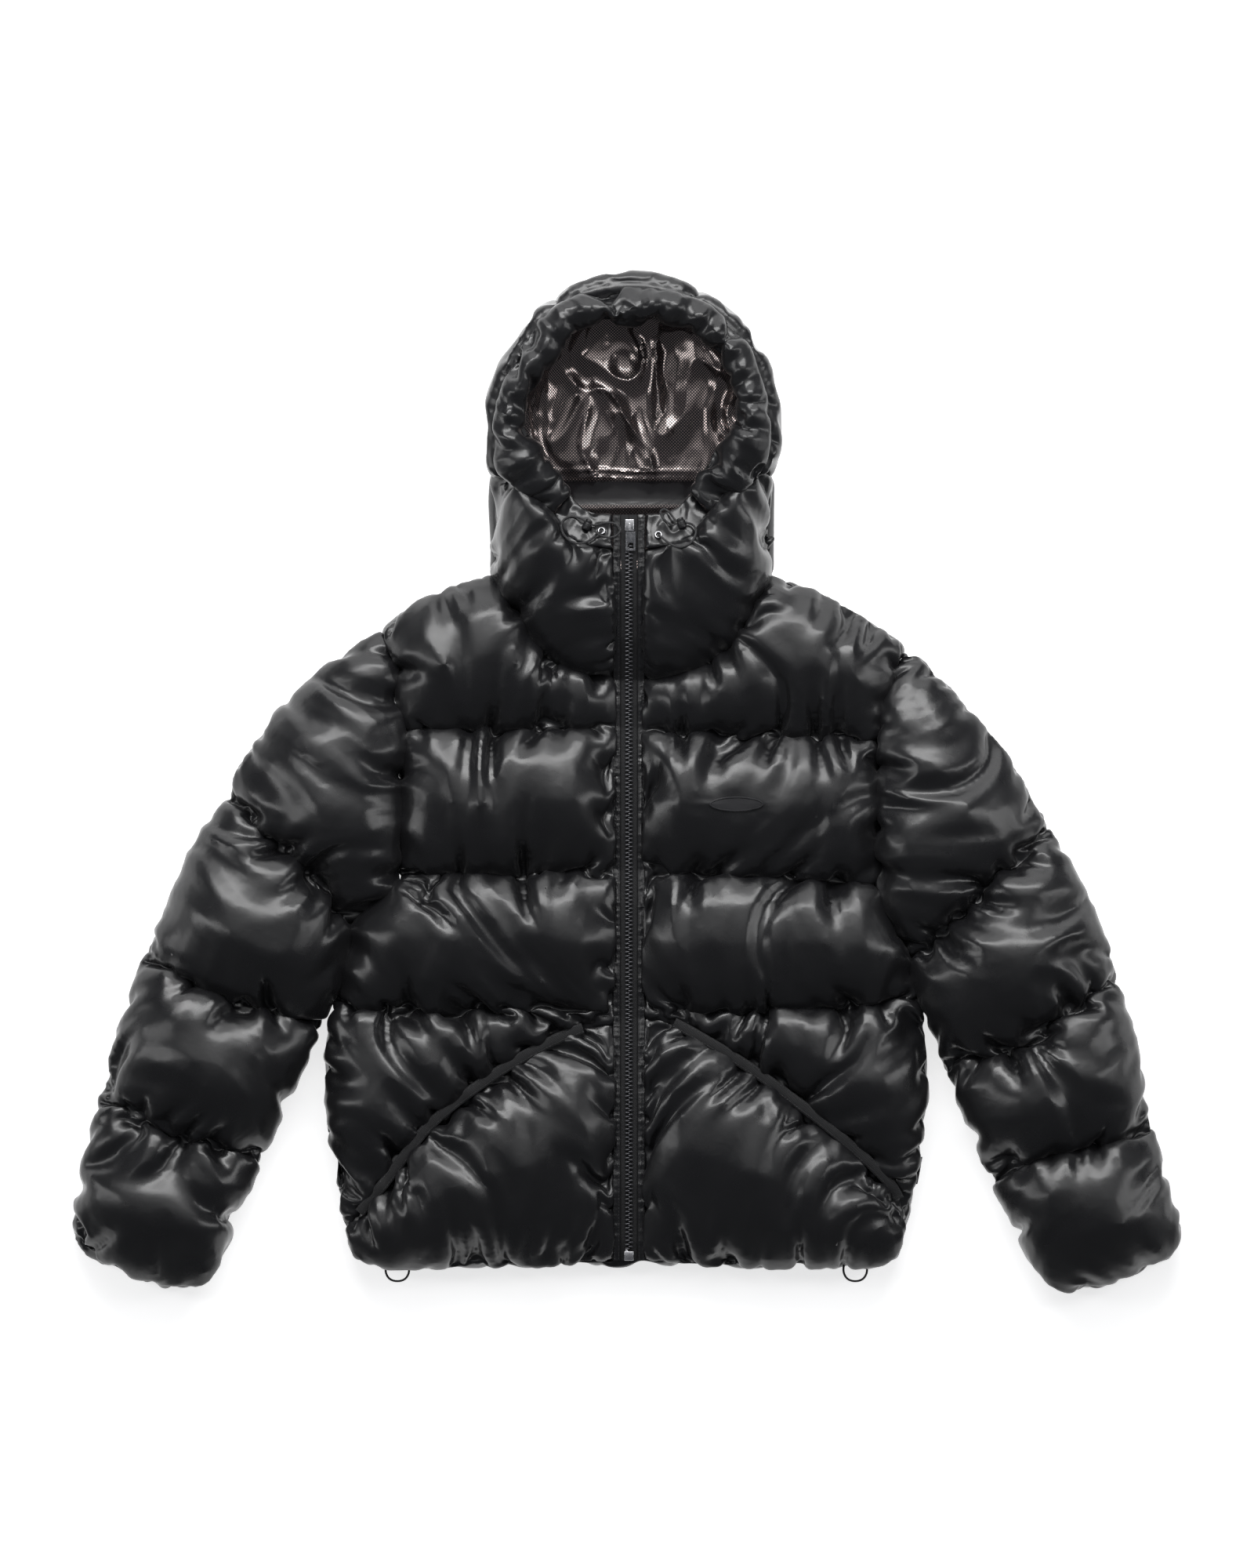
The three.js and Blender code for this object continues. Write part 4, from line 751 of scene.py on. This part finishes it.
class Stitches:
    """Collects rows of stitches into one mesh"""

    def __init__(self):
        self.verts, self.faces = [], []

    def row(self, points, pitch=3.2 * MM, length=2.4 * MM, thick=0.55 * MM):
        up = Vector((0, 0, 1))
        verts, faces = stitch_row(points, [up] * (len(points) - 1), pitch, length, thick)
        base = len(self.verts)
        self.verts += verts
        self.faces += [tuple(base + i for i in face) for face in faces]

    def make(self, name, material, slot):
        obj = mesh_object(name, self.verts, self.faces)
        work = bmesh.new()
        work.from_mesh(obj.data)
        bmesh.ops.recalc_face_normals(work, faces=work.faces)
        work.to_mesh(obj.data)
        work.free()
        return finished(obj, material, slot)


# Front opening in mm: edges of each placket, and the ends of its parts along the zip
PLACKET_EDGES = (8.3, 15.9)
OPENING = (-474, 268)
TEETH = (-463.5, 251)
TOOTH_PITCH = 4.1


def tape_height():
    height = surface([frame["nodes"]["zip_tape_left"], frame["nodes"]["zip_tape_right"]])
    low, high = (y * MM for y in OPENING)
    return lambda y: height(4 * MM, min(max(y, low + MM), high - MM))


class JACKET_OT_opening(bpy.types.Operator):
    """Makes the gathered plackets and the zip tapes with their sewing"""

    bl_idname = "jacket.opening"
    bl_label = "Plackets and tapes"

    def execute(self, context):
        settings = context.scene.jacket
        level = tape_height()
        tape = woven_tape(settings)
        stitches = Stitches()
        stations = np.arange(OPENING[0], OPENING[1] + 0.1, 1.75) * MM
        for name, sign in SIDES.items():
            rings, tape_rings, rows = [], [], ([], [])
            for y in stations:
                base = level(y)
                pull = noise.noise(Vector((sign * 3, y * 210, 1))) + 0.6 * noise.noise(Vector((sign * 9, y * 470, 5)))
                wide = 0.5 * noise.noise(Vector((sign * 5, y * 120, 8)))
                profile = [(8.4, -2.5), (8.3, 0.9), (8.9, 2.2 + 0.3 * pull), (10.2, 2.5 + 0.7 * pull),
                           (12.2, 3.3 + 1.5 * pull), (14.1, 2.4 + 0.9 * pull), (15.3 + wide, 2.0 + 1.1 * pull),
                           (15.9 + wide, 0.4), (15.8, -6)]
                rings.append([(sign * x * MM, y, base + z * MM) for x, z in profile])
                rows[0].append(Vector((sign * 10.2 * MM, y, base + (2.6 + 0.5 * pull) * MM)))
                rows[1].append(Vector((sign * 14.1 * MM, y, base + (2.5 + 0.6 * pull) * MM)))
                edge = 0.12 * noise.noise(Vector((sign, y * 300, 3)))
                section = [(0.3, -0.9), (8.0, -0.9), (8.0, 0), (5.8, 0.05 + edge), (4.4, 0.35), (0.3, 0.3)]
                tape_rings.append([(sign * x * MM, y, base + z * MM) for x, z in section])
            for row in rows:
                stitches.row(row)
            placket = closed_strip(f"placket_{name}_cloth", rings)
            finished(placket, coated_nylon(settings), "shell", f"placket_{name}")
            finished(closed_strip(f"zip_tape_{name}_weave", tape_rings), tape, "zip_tape", f"zip_tape_{name}")
        stitches.make("placket_stitches", sewing_thread(settings), "shell")
        return {"FINISHED"}


def tooth_mesh():
    """One zip tooth that points to +X from x = -3.8, modelled from a cube"""
    bpy.ops.object.select_all(action="DESELECT")
    bpy.ops.mesh.primitive_cube_add(size=1, location=(-2.5 * MM, 0, 1.3 * MM), scale=(2.7 * MM, 1.7 * MM, 2.2 * MM))
    tooth = bpy.context.object
    bpy.ops.object.transform_apply(location=True, rotation=True, scale=True)
    work = bmesh.new()
    work.from_mesh(tooth.data)
    work.faces.ensure_lookup_table()
    for face in work.faces:
        face.select_set(face.normal.x > 0.9)
    work.to_mesh(tooth.data)
    work.free()
    bpy.ops.object.mode_set(mode="EDIT")
    bpy.ops.mesh.select_mode(type="FACE")
    bpy.ops.mesh.extrude_region_move(TRANSFORM_OT_translate={"value": (0.5 * MM, 0, 0)})
    bpy.ops.transform.resize(value=(1, 0.62, 0.8))
    bpy.ops.mesh.extrude_region_move(TRANSFORM_OT_translate={"value": (0.7 * MM, 0, 0)})
    bpy.ops.transform.resize(value=(1, 1.7, 1.0))
    bpy.ops.mesh.extrude_region_move(TRANSFORM_OT_translate={"value": (0.5 * MM, 0, 0)})
    bpy.ops.transform.resize(value=(1, 0.7, 0.8))
    bpy.ops.object.mode_set(mode="OBJECT")
    apply_modifier(tooth, "BEVEL", width=0.22 * MM, segments=1, limit_method="ANGLE", angle_limit=math.radians(50))
    points = np.array([v.co for v in tooth.data.vertices])
    faces = [tuple(p.vertices) for p in tooth.data.polygons]
    bpy.data.objects.remove(tooth)
    return points, faces


def repeated(name, points, faces, places):
    """One mesh that holds a copy of the points at each place, mirrored where the place says so"""
    verts, polygons = [], []
    for place, mirror in places:
        base = len(verts)
        verts += [tuple(np.array(place) + p * (mirror, 1, 1)) for p in points]
        polygons += [tuple(base + i for i in (face if mirror > 0 else face[::-1])) for face in faces]
    return mesh_object(name, verts, polygons)


def slab(name, place, size, width, segments=3):
    """Block with rounded edges, from a cube"""
    bpy.ops.object.select_all(action="DESELECT")
    bpy.ops.mesh.primitive_cube_add(size=1, location=place, scale=size)
    obj = bpy.context.object
    obj.name = name
    bpy.ops.object.transform_apply(location=True, rotation=True, scale=True)
    apply_modifier(obj, "BEVEL", width=width, segments=segments, limit_method="ANGLE")
    return obj


def joined(name, parts):
    """One object from several, under a new name"""
    bpy.ops.object.select_all(action="DESELECT")
    for part in parts:
        part.select_set(True)
    bpy.context.view_layer.objects.active = parts[0]
    bpy.ops.object.join()
    parts[0].name = name
    return parts[0]


def select_faces(obj, keep):
    """Goes into edit mode with the faces selected that pass a test"""
    bpy.ops.object.mode_set(mode="OBJECT")
    for item in (*obj.data.vertices, *obj.data.edges):
        item.select = False
    for face in obj.data.polygons:
        face.select = keep(face)
    bpy.ops.object.mode_set(mode="EDIT")
    bpy.ops.mesh.select_mode(type="FACE")


def pull_tab(settings):
    """Flat tab with a window near its free end, hung from the slider's bridge"""
    pivot = Vector(frame["joints"][0]["pos_m"])
    low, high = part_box("zip_pull")
    tab = slab("zip_pull_tab", (0, 0, 0), (9.6 * MM, 19 * MM, 1.5 * MM), 0.01 * MM, 1)
    select_faces(tab, lambda face: abs(face.normal.z) > 0.9)
    bpy.ops.mesh.inset(thickness=1.6 * MM)
    bpy.ops.transform.resize(value=(0.92, 0.37, 1), center_override=(0, 0, 0))
    bpy.ops.transform.translate(value=(0, -4.6 * MM, 0))
    bpy.ops.mesh.bridge_edge_loops()
    bpy.ops.object.mode_set(mode="OBJECT")
    apply_modifier(tab, "BEVEL", width=0.35 * MM, segments=3, limit_method="ANGLE", angle_limit=math.radians(50))
    place = Vector(((low.x + high.x) / 2, pivot.y, pivot.z))
    hang = Matrix.Rotation(math.radians(4.5), 4, "X") @ Matrix.Translation((0, -8.8 * MM, 0))
    tab.data.transform(Matrix.Translation(place) @ hang)
    dress(tab, zip_metal("polished_zip_metal", settings.metal, 0.24))
    select_only(tab)
    bpy.ops.object.shade_smooth_by_angle(angle=math.radians(40))
    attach(tab, "pull_tab")
    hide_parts("zip_pull")


class JACKET_OT_zip(bpy.types.Operator):
    """Makes the zip's teeth, slider, pull tab and bottom box"""

    bl_idname = "jacket.zip"
    bl_label = "Zip"

    def execute(self, context):
        settings = context.scene.jacket
        level = tape_height()
        points, faces = tooth_mesh()
        places = []
        count = int((TEETH[1] - TEETH[0]) / TOOTH_PITCH)
        for i in range(count):
            for sign, shift in ((1, 0), (-1, 0.5)):
                y = (TEETH[0] + 1.2 + (i + shift) * TOOTH_PITCH) * MM
                places.append(((0, y, level(y) + 0.12 * MM), sign))
        teeth = repeated("zip_teeth", points, faces, places)
        finished(teeth, zip_metal("tooth_metal", settings.teeth, 0.34), "zip_metal", "zip_chain")
        low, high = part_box("zip_slider")
        middle = (low + high) / 2
        width, length, thick = high - low
        metal = zip_metal("slider_metal", settings.metal, 0.28)
        top = slab("slider_top", (middle.x, middle.y, high.z - 1.5 * MM), (width, length, 1.8 * MM), 0.7 * MM)
        select_faces(top, lambda face: face.normal.y < -0.9)
        bpy.ops.transform.resize(value=(0.72, 1, 1), center_override=(middle.x, low.y, middle.z))
        bpy.ops.object.mode_set(mode="OBJECT")
        parts = [
            top,
            slab("slider_core", (middle.x, middle.y, middle.z - 0.6 * MM), (width * 0.5, length * 0.9, 2.6 * MM), 0.4 * MM),
            slab("slider_foot", (middle.x, middle.y, low.z + 0.6 * MM), (width, length, 1.1 * MM), 0.4 * MM),
            slab("slider_bridge", (middle.x, low.y + 4.2 * MM, high.z + 0.3 * MM), (2.2 * MM, 7.6 * MM, 1.9 * MM), 0.7 * MM),
        ]
        finished(joined("zip_slider_body", parts), metal, "zip_metal", "zip_slider")
        low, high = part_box("zip_box")
        middle = (low + high) / 2
        parts = [
            slab("box_body", middle, high - low, 0.7 * MM),
            slab("box_pin", (middle.x - 2.4 * MM, high.y - 0.5 * MM, high.z - 1.2 * MM), (2.4 * MM, 4.4 * MM, 1.8 * MM), 0.5 * MM),
        ]
        finished(joined("zip_bottom_box", parts), metal, "zip_metal", "zip_box")
        pull_tab(settings)
        return {"FINISHED"}


# Routes of the cords in mm, as [x, y, height over the facing], from eyelet through lock to the end
CORD_ROUTES = {
    "right": [
        (-27.3, 252, 2.4), (-27.9, 251.6, 4.4), (-33, 247.6, 4.8), (-39.9, 242.1, 5.6), (-49.3, 239.2, 6.2),
        (-58.7, 242.1, 6.2), (-65.5, 249.4, 5.2), (-67.2, 257.7, 3.4), (-63.9, 263.8, 3), (-56.6, 266.1, 3.4),
        (-47.4, 264, 5.6), (-40.6, 259.6, 6.2), (-34.2, 257.6, 6.2), (-25.2, 259.6, 6.4), (-16.9, 259.8, 7.8),
        (-11.1, 256.9, 8.4), (-8.8, 252, 8.6), (-12.7, 247.1, 8.4), (-20, 245.2, 8), (-28.6, 247.6, 8.4),
        (-34.6, 252, 6.8),
    ],
    "left": [
        (29.3, 248.1, 2.4), (29.9, 247.6, 4.4), (35, 243.4, 5.2), (42.7, 237.9, 6.6), (51, 235.8, 7.2),
        (59.4, 238.4, 6.8), (65.1, 245.2, 5.8), (66.7, 252.5, 4.6), (63.8, 257.6, 4.8), (58.2, 259.8, 5.8),
        (52, 261, 6), (46.4, 262.4, 6), (40.6, 269.8, 6), (35.3, 273.4, 6.2), (31.4, 270.9, 6.4),
        (33.3, 265.4, 5.8), (38.5, 260.2, 5.6), (44.8, 257.2, 6),
    ],
}
LOCK_TURNS = {"right": -25, "left": 20}
HEM_LOOP = [(-10.4, -476.5, 20), (-11.6, -480.7, 20), (-11.6, -485, 20), (-10.4, -488.8, 19), (-8, -492, 18),
            (-4.4, -494, 17.3), (0, -494.6, 17), (4.4, -494, 17.3), (8, -492, 18), (10.4, -488.8, 19),
            (11.6, -485, 20), (11.6, -480.7, 20), (10.4, -476.5, 20)]
HEM_LOOP_X = {"right": -230.5, "left": 225.2}
CORD_WIDTH = 2.2


def facing_height(y):
    return 91.5 - (y - 233) * 0.33


def smooth_route(points, steps):
    """Points of a smooth line through the given ones"""
    route = []
    padded = [points[0] * 2 - points[1], *points, points[-1] * 2 - points[-2]]
    for a, b, c, d in zip(padded, padded[1:], padded[2:], padded[3:]):
        for i in range(steps):
            t = i / steps
            route.append(0.5 * (2 * b + (c - a) * t + (2 * a - 5 * b + 4 * c - d) * t * t
                                + (3 * b - a - 3 * c + d) * t ** 3))
    return route + [points[-1]]


def cord_curve(name, points, width):
    """Round cord as one open curve"""
    data = bpy.data.curves.new(name, "CURVE")
    data.dimensions = "3D"
    spline = data.splines.new("POLY")
    spline.points.add(len(points) - 1)
    for point, place in zip(spline.points, points):
        point.co = (*place, 1)
    data.bevel_depth = width / 2
    data.bevel_resolution = 3
    data.use_fill_caps = True
    return new_object(name, data)


def run_length(points):
    return sum((b - a).length for a, b in zip(points, points[1:]))


def cord_lock(side, material):
    """Barrel with a spring button and two raised rings"""
    low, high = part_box(f"cord_lock_{side}")
    middle = (low + high) / 2
    parts = []
    for radius, depth, shift in ((4.3, 7.4, -1.9), (3.3, 4.2, 2.8), (3.0, 2.2, -5.0)):
        bpy.ops.object.select_all(action="DESELECT")
        bpy.ops.mesh.primitive_cylinder_add(
            vertices=28, radius=radius * MM, depth=depth * MM, location=(0, 0, shift * MM))
        part = bpy.context.object
        bpy.ops.object.transform_apply(location=True, rotation=True, scale=True)
        apply_modifier(part, "BEVEL", width=0.9 * MM, segments=3, limit_method="ANGLE")
        parts.append(part)
    for shift in (-3.4, -1.6):
        bpy.ops.object.select_all(action="DESELECT")
        bpy.ops.mesh.primitive_torus_add(
            major_radius=4.2 * MM, minor_radius=0.35 * MM, major_segments=28, minor_segments=6,
            location=(0, 0, shift * MM))
        bpy.ops.object.transform_apply(location=True, rotation=True, scale=True)
        parts.append(bpy.context.object)
    lock = joined(f"cord_lock_{side}_barrel", parts)
    turn = Matrix.Rotation(math.radians(LOCK_TURNS[side]), 4, "Z") @ Matrix.Rotation(math.radians(-90), 4, "X")
    lock.data.transform(Matrix.Translation(middle) @ turn)
    return finished(lock, material, "cord_lock", f"cord_lock_{side}")


class JACKET_OT_cords(bpy.types.Operator):
    """Makes the hood's cords with their locks and eyelets, and the loops of the hem's cord"""

    bl_idname = "jacket.cords"
    bl_label = "Cords"

    def execute(self, context):
        settings = context.scene.jacket
        braid = braided_cord(settings)
        plastic = moulded_plastic(settings)
        metal = zip_metal("eyelet_metal", settings.metal, 0.3)
        for side in SIDES:
            route = [Vector((x, y, facing_height(y) + lift)) * MM for x, y, lift in CORD_ROUTES[side]]
            points = smooth_route(route, 5)
            cord = cord_curve(f"hood_cord_{side}_braid", points, CORD_WIDTH * MM)
            dress(cord, braid)
            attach(cord, BODY)
            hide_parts(f"hood_cord_{side}", f"hood_cord_end_{side}")
            lock = cord_lock(side, plastic)
            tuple(points[0])
            run_length(points)
            low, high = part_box(f"eyelet_{side}")
            bpy.ops.object.select_all(action="DESELECT")
            bpy.ops.mesh.primitive_torus_add(
                major_radius=3.0 * MM, minor_radius=0.85 * MM, major_segments=36, minor_segments=10,
                location=(low + high) / 2 + Vector((0, 0, 0.9 * MM)), rotation=(-math.atan(0.33), 0, 0))
            eyelet = bpy.context.object
            eyelet.name = f"eyelet_{side}_ring"
            bpy.ops.object.transform_apply(location=True, rotation=True, scale=True)
            finished(eyelet, metal, "zip_metal", f"eyelet_{side}")
            loop = [Vector((HEM_LOOP_X[side] + x, y, z)) * MM for x, y, z in HEM_LOOP]
            points = smooth_route(loop, 3)
            cord = cord_curve(f"hem_cord_{side}_braid", points, CORD_WIDTH * MM)
            dress(cord, braid)
            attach(cord, BODY)
            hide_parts(f"hem_cord_{side}")
            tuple(points[0])
            run_length(points)
        return {"FINISHED"}


# Pocket lines in mm, as [distance from the zip, y]; the stitches follow lines beside them
POCKET_LINES = {
    "right": [(16.3, -240), (40, -241), (83, -259), (140, -293), (198, -339), (242, -395), (281, -442)],
    "left": [(16.3, -233), (37, -234), (98, -268), (156, -308), (214, -354), (260, -398), (274, -430)],
}


class JACKET_OT_bindings(bpy.types.Operator):
    """Makes the tapes over the pockets' edges with their sewing"""

    bl_idname = "jacket.bindings"
    bl_label = "Pocket bindings"

    def execute(self, context):
        settings = context.scene.jacket
        tape = woven_tape(settings)
        stitches = Stitches()
        for side, sign in SIDES.items():
            node = frame["nodes"][f"pocket_binding_{side}"]
            height = surface([node])
            cloth = surface([bpy.data.objects[f"{name}_{side}_shell"] for name in ("front", "pocket")])
            line = smooth_route([Vector((sign * x, y, 0)) * MM for x, y in POCKET_LINES[side]], 30)
            rings, rows = [], ([], [])
            kept = [(a, b) for a, b in zip(line, line[1:]) if height(a.x, a.y) is not None][1:-1]
            tops = []
            for a, b in kept:
                out = Vector((a.y - b.y, b.x - a.x, 0)).normalized() * 4 * MM
                levels = [height(a.x, a.y)] + [cloth(a.x + k * out.x, a.y + k * out.y) or 0 for k in (-1, -0.5, 0, 0.5, 1)]
                tops.append(max(levels))
            tops = np.convolve(np.pad(tops, 12, mode="edge"), np.ones(25) / 25, mode="valid") + 0.6 * MM
            for top, (a, b) in zip(tops, kept):
                way = (b - a).normalized()
                out = Vector((-way.y, way.x, 0))
                pucker = noise.noise(Vector((a.x * 160, a.y * 160, sign * 4)))
                ripple = noise.noise(Vector((a.x * 60, a.y * 60, sign * 8)))
                wide = 5.4 + 0.3 * pucker
                ring = []
                for across, lift in ((-1, -1.6), (-1, -0.7), (-0.82, 0.1), (-0.4, 0.75), (0, 0.95), (0.4, 0.75),
                                     (0.82, 0.1), (1, -0.7), (1, -1.6)):
                    bump = 0.5 * pucker * abs(across) + 0.4 * ripple
                    ring.append(a + out * across * wide * MM + Vector((0, 0, top - a.z + (lift + bump) * MM)))
                rings.append(ring)
                for row, index in zip(rows, (2, 6)):
                    row.append((ring[index] * 2 + ring[index + (1 if index == 2 else -1)]) / 3 + Vector((0, 0, 0.1 * MM)))
            for row in rows:
                stitches.row(row, pitch=3.0 * MM)
            name = f"pocket_binding_{side}_tape"
            obj = finished(closed_strip(name, rings), tape, "binding", f"pocket_binding_{side}")
            length = run_length([ring[4] for ring in rings])
        stitches.make("binding_stitches", sewing_thread(settings), "binding")
        return {"FINISHED"}


class JACKET_OT_lining(bpy.types.Operator):
    """Makes the hood's lining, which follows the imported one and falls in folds"""

    bl_idname = "jacket.lining"
    bl_label = "Hood lining"

    def execute(self, context):
        settings = context.scene.jacket
        work = bmesh.new()
        work.from_mesh(frame["nodes"]["hood_lining"].data)
        tree = BVHTree.FromBMesh(work)
        work.free()
        eye = Vector((2, 365, 64)) * MM
        around, up = 220, 110
        rows, flat = [], []
        for r in range(up):
            share = (r + 0.5) / up
            elevation = math.radians(-90 + 97 * share)
            row = []
            for c in range(around):
                azimuth = 2 * math.pi * c / around
                way = Vector((math.cos(azimuth) * math.cos(elevation), math.sin(azimuth) * math.cos(elevation),
                              math.sin(elevation)))
                hit, normal, _, _ = tree.ray_cast(eye, way)
                if hit is None:
                    hit = rows[-1][c][0] + Vector((way.x, way.y, 0.6)) * 0.4 * MM
                    normal = -way
                row.append((hit, normal if normal.dot(way) < 0 else -normal))
            rows.append(row)
        points = np.array([[tuple(hit) for hit, _ in row] for row in rows])
        normals = np.array([[tuple(n) for _, n in row] for row in rows])
        for _ in range(30):
            for k in range(2):
                grid = (points, normals)[k]
                even = (np.roll(grid, 1, 1) + np.roll(grid, -1, 1)) / 4
                even[1:-1] += (grid[2:] + grid[:-2]) / 4
                grid[1:-1] = 0.5 * grid[1:-1] + 0.5 * even[1:-1]
        run = np.concatenate([np.zeros((1, around)), np.cumsum(np.linalg.norm(np.diff(points, axis=0), axis=2), axis=0)])
        run += np.linalg.norm(points[0] - points[0].mean(0), axis=1)
        angle = 2 * np.pi * np.arange(around) / around
        flat = np.stack([run * np.cos(angle), run * np.sin(angle)], axis=2)
        lift = np.empty((up, around))
        for r in range(up):
            rim = min(1, (up - 1 - r) / 14)
            for c in range(around):
                u, v = flat[r, c]
                p = Vector((u, v, 0))
                drift = noise.noise_vector(p * 16)
                drape = crease(Vector((u * 24 + 0.8 * drift.x, v * 9 + drift.y, 2)))
                fine = crease(Vector((u * 52 + drift.y, v * 21 + drift.x, 6)))
                seam = sum(math.exp(-((v + at - 0.004 * drift.x) / (1.8 * MM)) ** 2) for at in (0.053, 0.060))
                roll = math.exp(-((v + 0.091 - 0.002 * drift.y) / (4 * MM)) ** 2)
                calm = 1 / (1 + math.exp(-(v + 0.062) / (4 * MM)))
                folds = max(0, 4.4 * drape + 0.8 * fine + 4.5) * (0.2 + 0.8 * calm)
                lift[r, c] = (rim * (folds + 1.5 * seam + 2.2 * roll) + 0.5) * MM
        points = points + normals * lift[:, :, None]
        verts = points.reshape(-1, 3)
        faces = [tuple(reversed(f)) for f in ribbon_faces(up, around, True)]
        middle = len(verts)
        verts = np.concatenate([verts, [verts[:around].mean(0)]])
        faces += [(middle, (c + 1) % around, c) for c in range(around)]
        obj = mesh_object("hood_lining_cloth", verts, faces)
        work = bmesh.new()
        work.from_mesh(obj.data)
        layer = work.loops.layers.uv.new("cloth")
        coordinates = np.concatenate([flat.reshape(-1, 2), [[0, 0]]])
        for face in work.faces:
            for loop in face.loops:
                loop[layer].uv = coordinates[loop.vert.index] + 1.0
        if sum(face.normal.z for face in work.faces) < 0:
            bmesh.ops.reverse_faces(work, faces=work.faces)
        work.to_mesh(obj.data)
        work.free()
        apply_modifier(obj, "SOLIDIFY", thickness=0.8 * MM, offset=-1)
        finished(obj, dotted_lining(settings), "lining", "hood_lining")
        return {"FINISHED"}


def rubber_oval(height):
    """Oval patch with a raised border and a sunk middle, laid over the cloth"""
    bpy.ops.object.select_all(action="DESELECT")
    size = (PATCH["length"] / 2 * MM, PATCH["width"] / 2 * MM, 2.4 * MM)
    bpy.ops.mesh.primitive_cylinder_add(vertices=64, radius=1, depth=1, scale=size)
    patch = bpy.context.object
    patch.name = "chest_patch_rubber"
    bpy.ops.object.transform_apply(location=True, rotation=True, scale=True)
    select_faces(patch, lambda face: face.normal.z > 0.9)
    bpy.ops.mesh.inset(thickness=0.4 * MM)
    bpy.ops.transform.translate(value=(0, 0, 0.4 * MM))
    bpy.ops.mesh.inset(thickness=0.8 * MM)
    bpy.ops.mesh.inset(thickness=0.4 * MM)
    bpy.ops.transform.translate(value=(0, 0, -0.7 * MM))
    for _ in range(3):
        bpy.ops.mesh.extrude_region()
        bpy.ops.transform.resize(value=(0.72, 0.62, 1), center_override=(0, 0, 0))
    bpy.ops.object.mode_set(mode="OBJECT")
    for vertex in patch.data.vertices:
        vertex.co += Vector((PATCH["x"], PATCH["y"], 0)) * MM
        inner = vertex.co.lerp(Vector((PATCH["x"] * MM, PATCH["y"] * MM, vertex.co.z)), 0.06)
        vertex.co.z += height(inner.x, inner.y) + 0.3 * MM
    return patch


class JACKET_OT_trims(bpy.types.Operator):
    """Makes the bare chest patch and the bare side label"""

    bl_idname = "jacket.trims"
    bl_label = "Patch and label"

    def execute(self, context):
        settings = context.scene.jacket
        patch = rubber_oval(surface([bpy.data.objects[PATCH["node"] + "_shell"]]))
        finished(patch, soft_rubber(settings), "trim", "chest_patch")
        label = merged_copy("side_label", "side_label_weave")
        apply_modifier(label, "BEVEL", width=0.3 * MM, segments=2, limit_method="ANGLE")
        finished(label, woven_tape(settings), "trim", "side_label")
        return {"FINISHED"}


def soft_plate(node, grain):
    """Thin padded piece with shallow folds over its upper face"""
    obj = merged_copy(node, node + "_cloth")
    apply_modifier(obj, "REMESH", mode="VOXEL", voxel_size=grain * MM)
    points, faces = mesh_arrays(obj.data)
    sheet = Cloth(points, faces)
    for _ in range(6):
        sheet.points += 0.5 * sheet.evened(sheet.points)
    normal = sheet.normals()
    shift = []
    for x, y, z in sheet.points:
        drift = noise.noise_vector(Vector((x, y, z)) * 30)
        fold = crease(Vector((x * 48 + drift.x, y * 20 + drift.y, 4)))
        shift.append(1.8 * fold + 0.8 * crease(Vector((x * 100, y * 60 + drift.x, 9))))
    low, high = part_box(node.replace("collar_facing", "eyelet"))
    middle = np.array((low + high) / 2)
    beside = np.clip(np.linalg.norm(sheet.points - middle, axis=1) / (5 * MM) - 0.9, 0, 1)
    upper = np.clip(normal[:, 2], 0, 1) * beside
    sheet.points += normal * (upper * np.array(shift) * MM)[:, None]
    set_points(obj.data, sheet.points)
    apply_modifier(obj, "SUBSURF", levels=1, render_levels=1)
    select_only(obj)
    bpy.ops.object.shade_smooth()
    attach(obj, BODY)
    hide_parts(node)
    return obj


class JACKET_OT_facings(bpy.types.Operator):
    """Makes the glossy facings inside the neck that carry the eyelets"""

    bl_idname = "jacket.facings"
    bl_label = "Neck facings"

    def execute(self, context):
        material = coated_nylon(context.scene.jacket)
        for side in SIDES:
            dress(soft_plate(f"collar_facing_{side}", 1.5), material)
        return {"FINISHED"}


class JACKET_PT_panel(bpy.types.Panel):
    """Lists the steps that dress the jacket"""

    bl_idname = "JACKET_PT_panel"
    bl_label = "Puffer jacket"
    bl_space_type = "VIEW_3D"
    bl_region_type = "UI"
    bl_category = "Jacket"

    def draw(self, context):
        settings = context.scene.jacket
        for name in JacketSettings.__annotations__:
            self.layout.prop(settings, name)
        for step in STEPS:
            self.layout.operator(step.bl_idname)


STEPS = [JACKET_OT_camera, JACKET_OT_cords, JACKET_OT_shells, JACKET_OT_facings, JACKET_OT_lining, JACKET_OT_opening, JACKET_OT_zip, JACKET_OT_bindings, JACKET_OT_trims, JACKET_OT_stage]
CLASSES = [JacketSettings, *STEPS, JACKET_PT_panel]


def register():
    for cls in CLASSES:
        bpy.utils.register_class(cls)
    bpy.types.Scene.jacket = PointerProperty(type=JacketSettings)


def unregister():
    del bpy.types.Scene.jacket
    for cls in reversed(CLASSES):
        bpy.utils.unregister_class(cls)


def main():
    register()
    for step in STEPS:
        group, name = step.bl_idname.split(".")
        getattr(getattr(bpy.ops, group), name)()


if __name__ == "__main__":
    main()
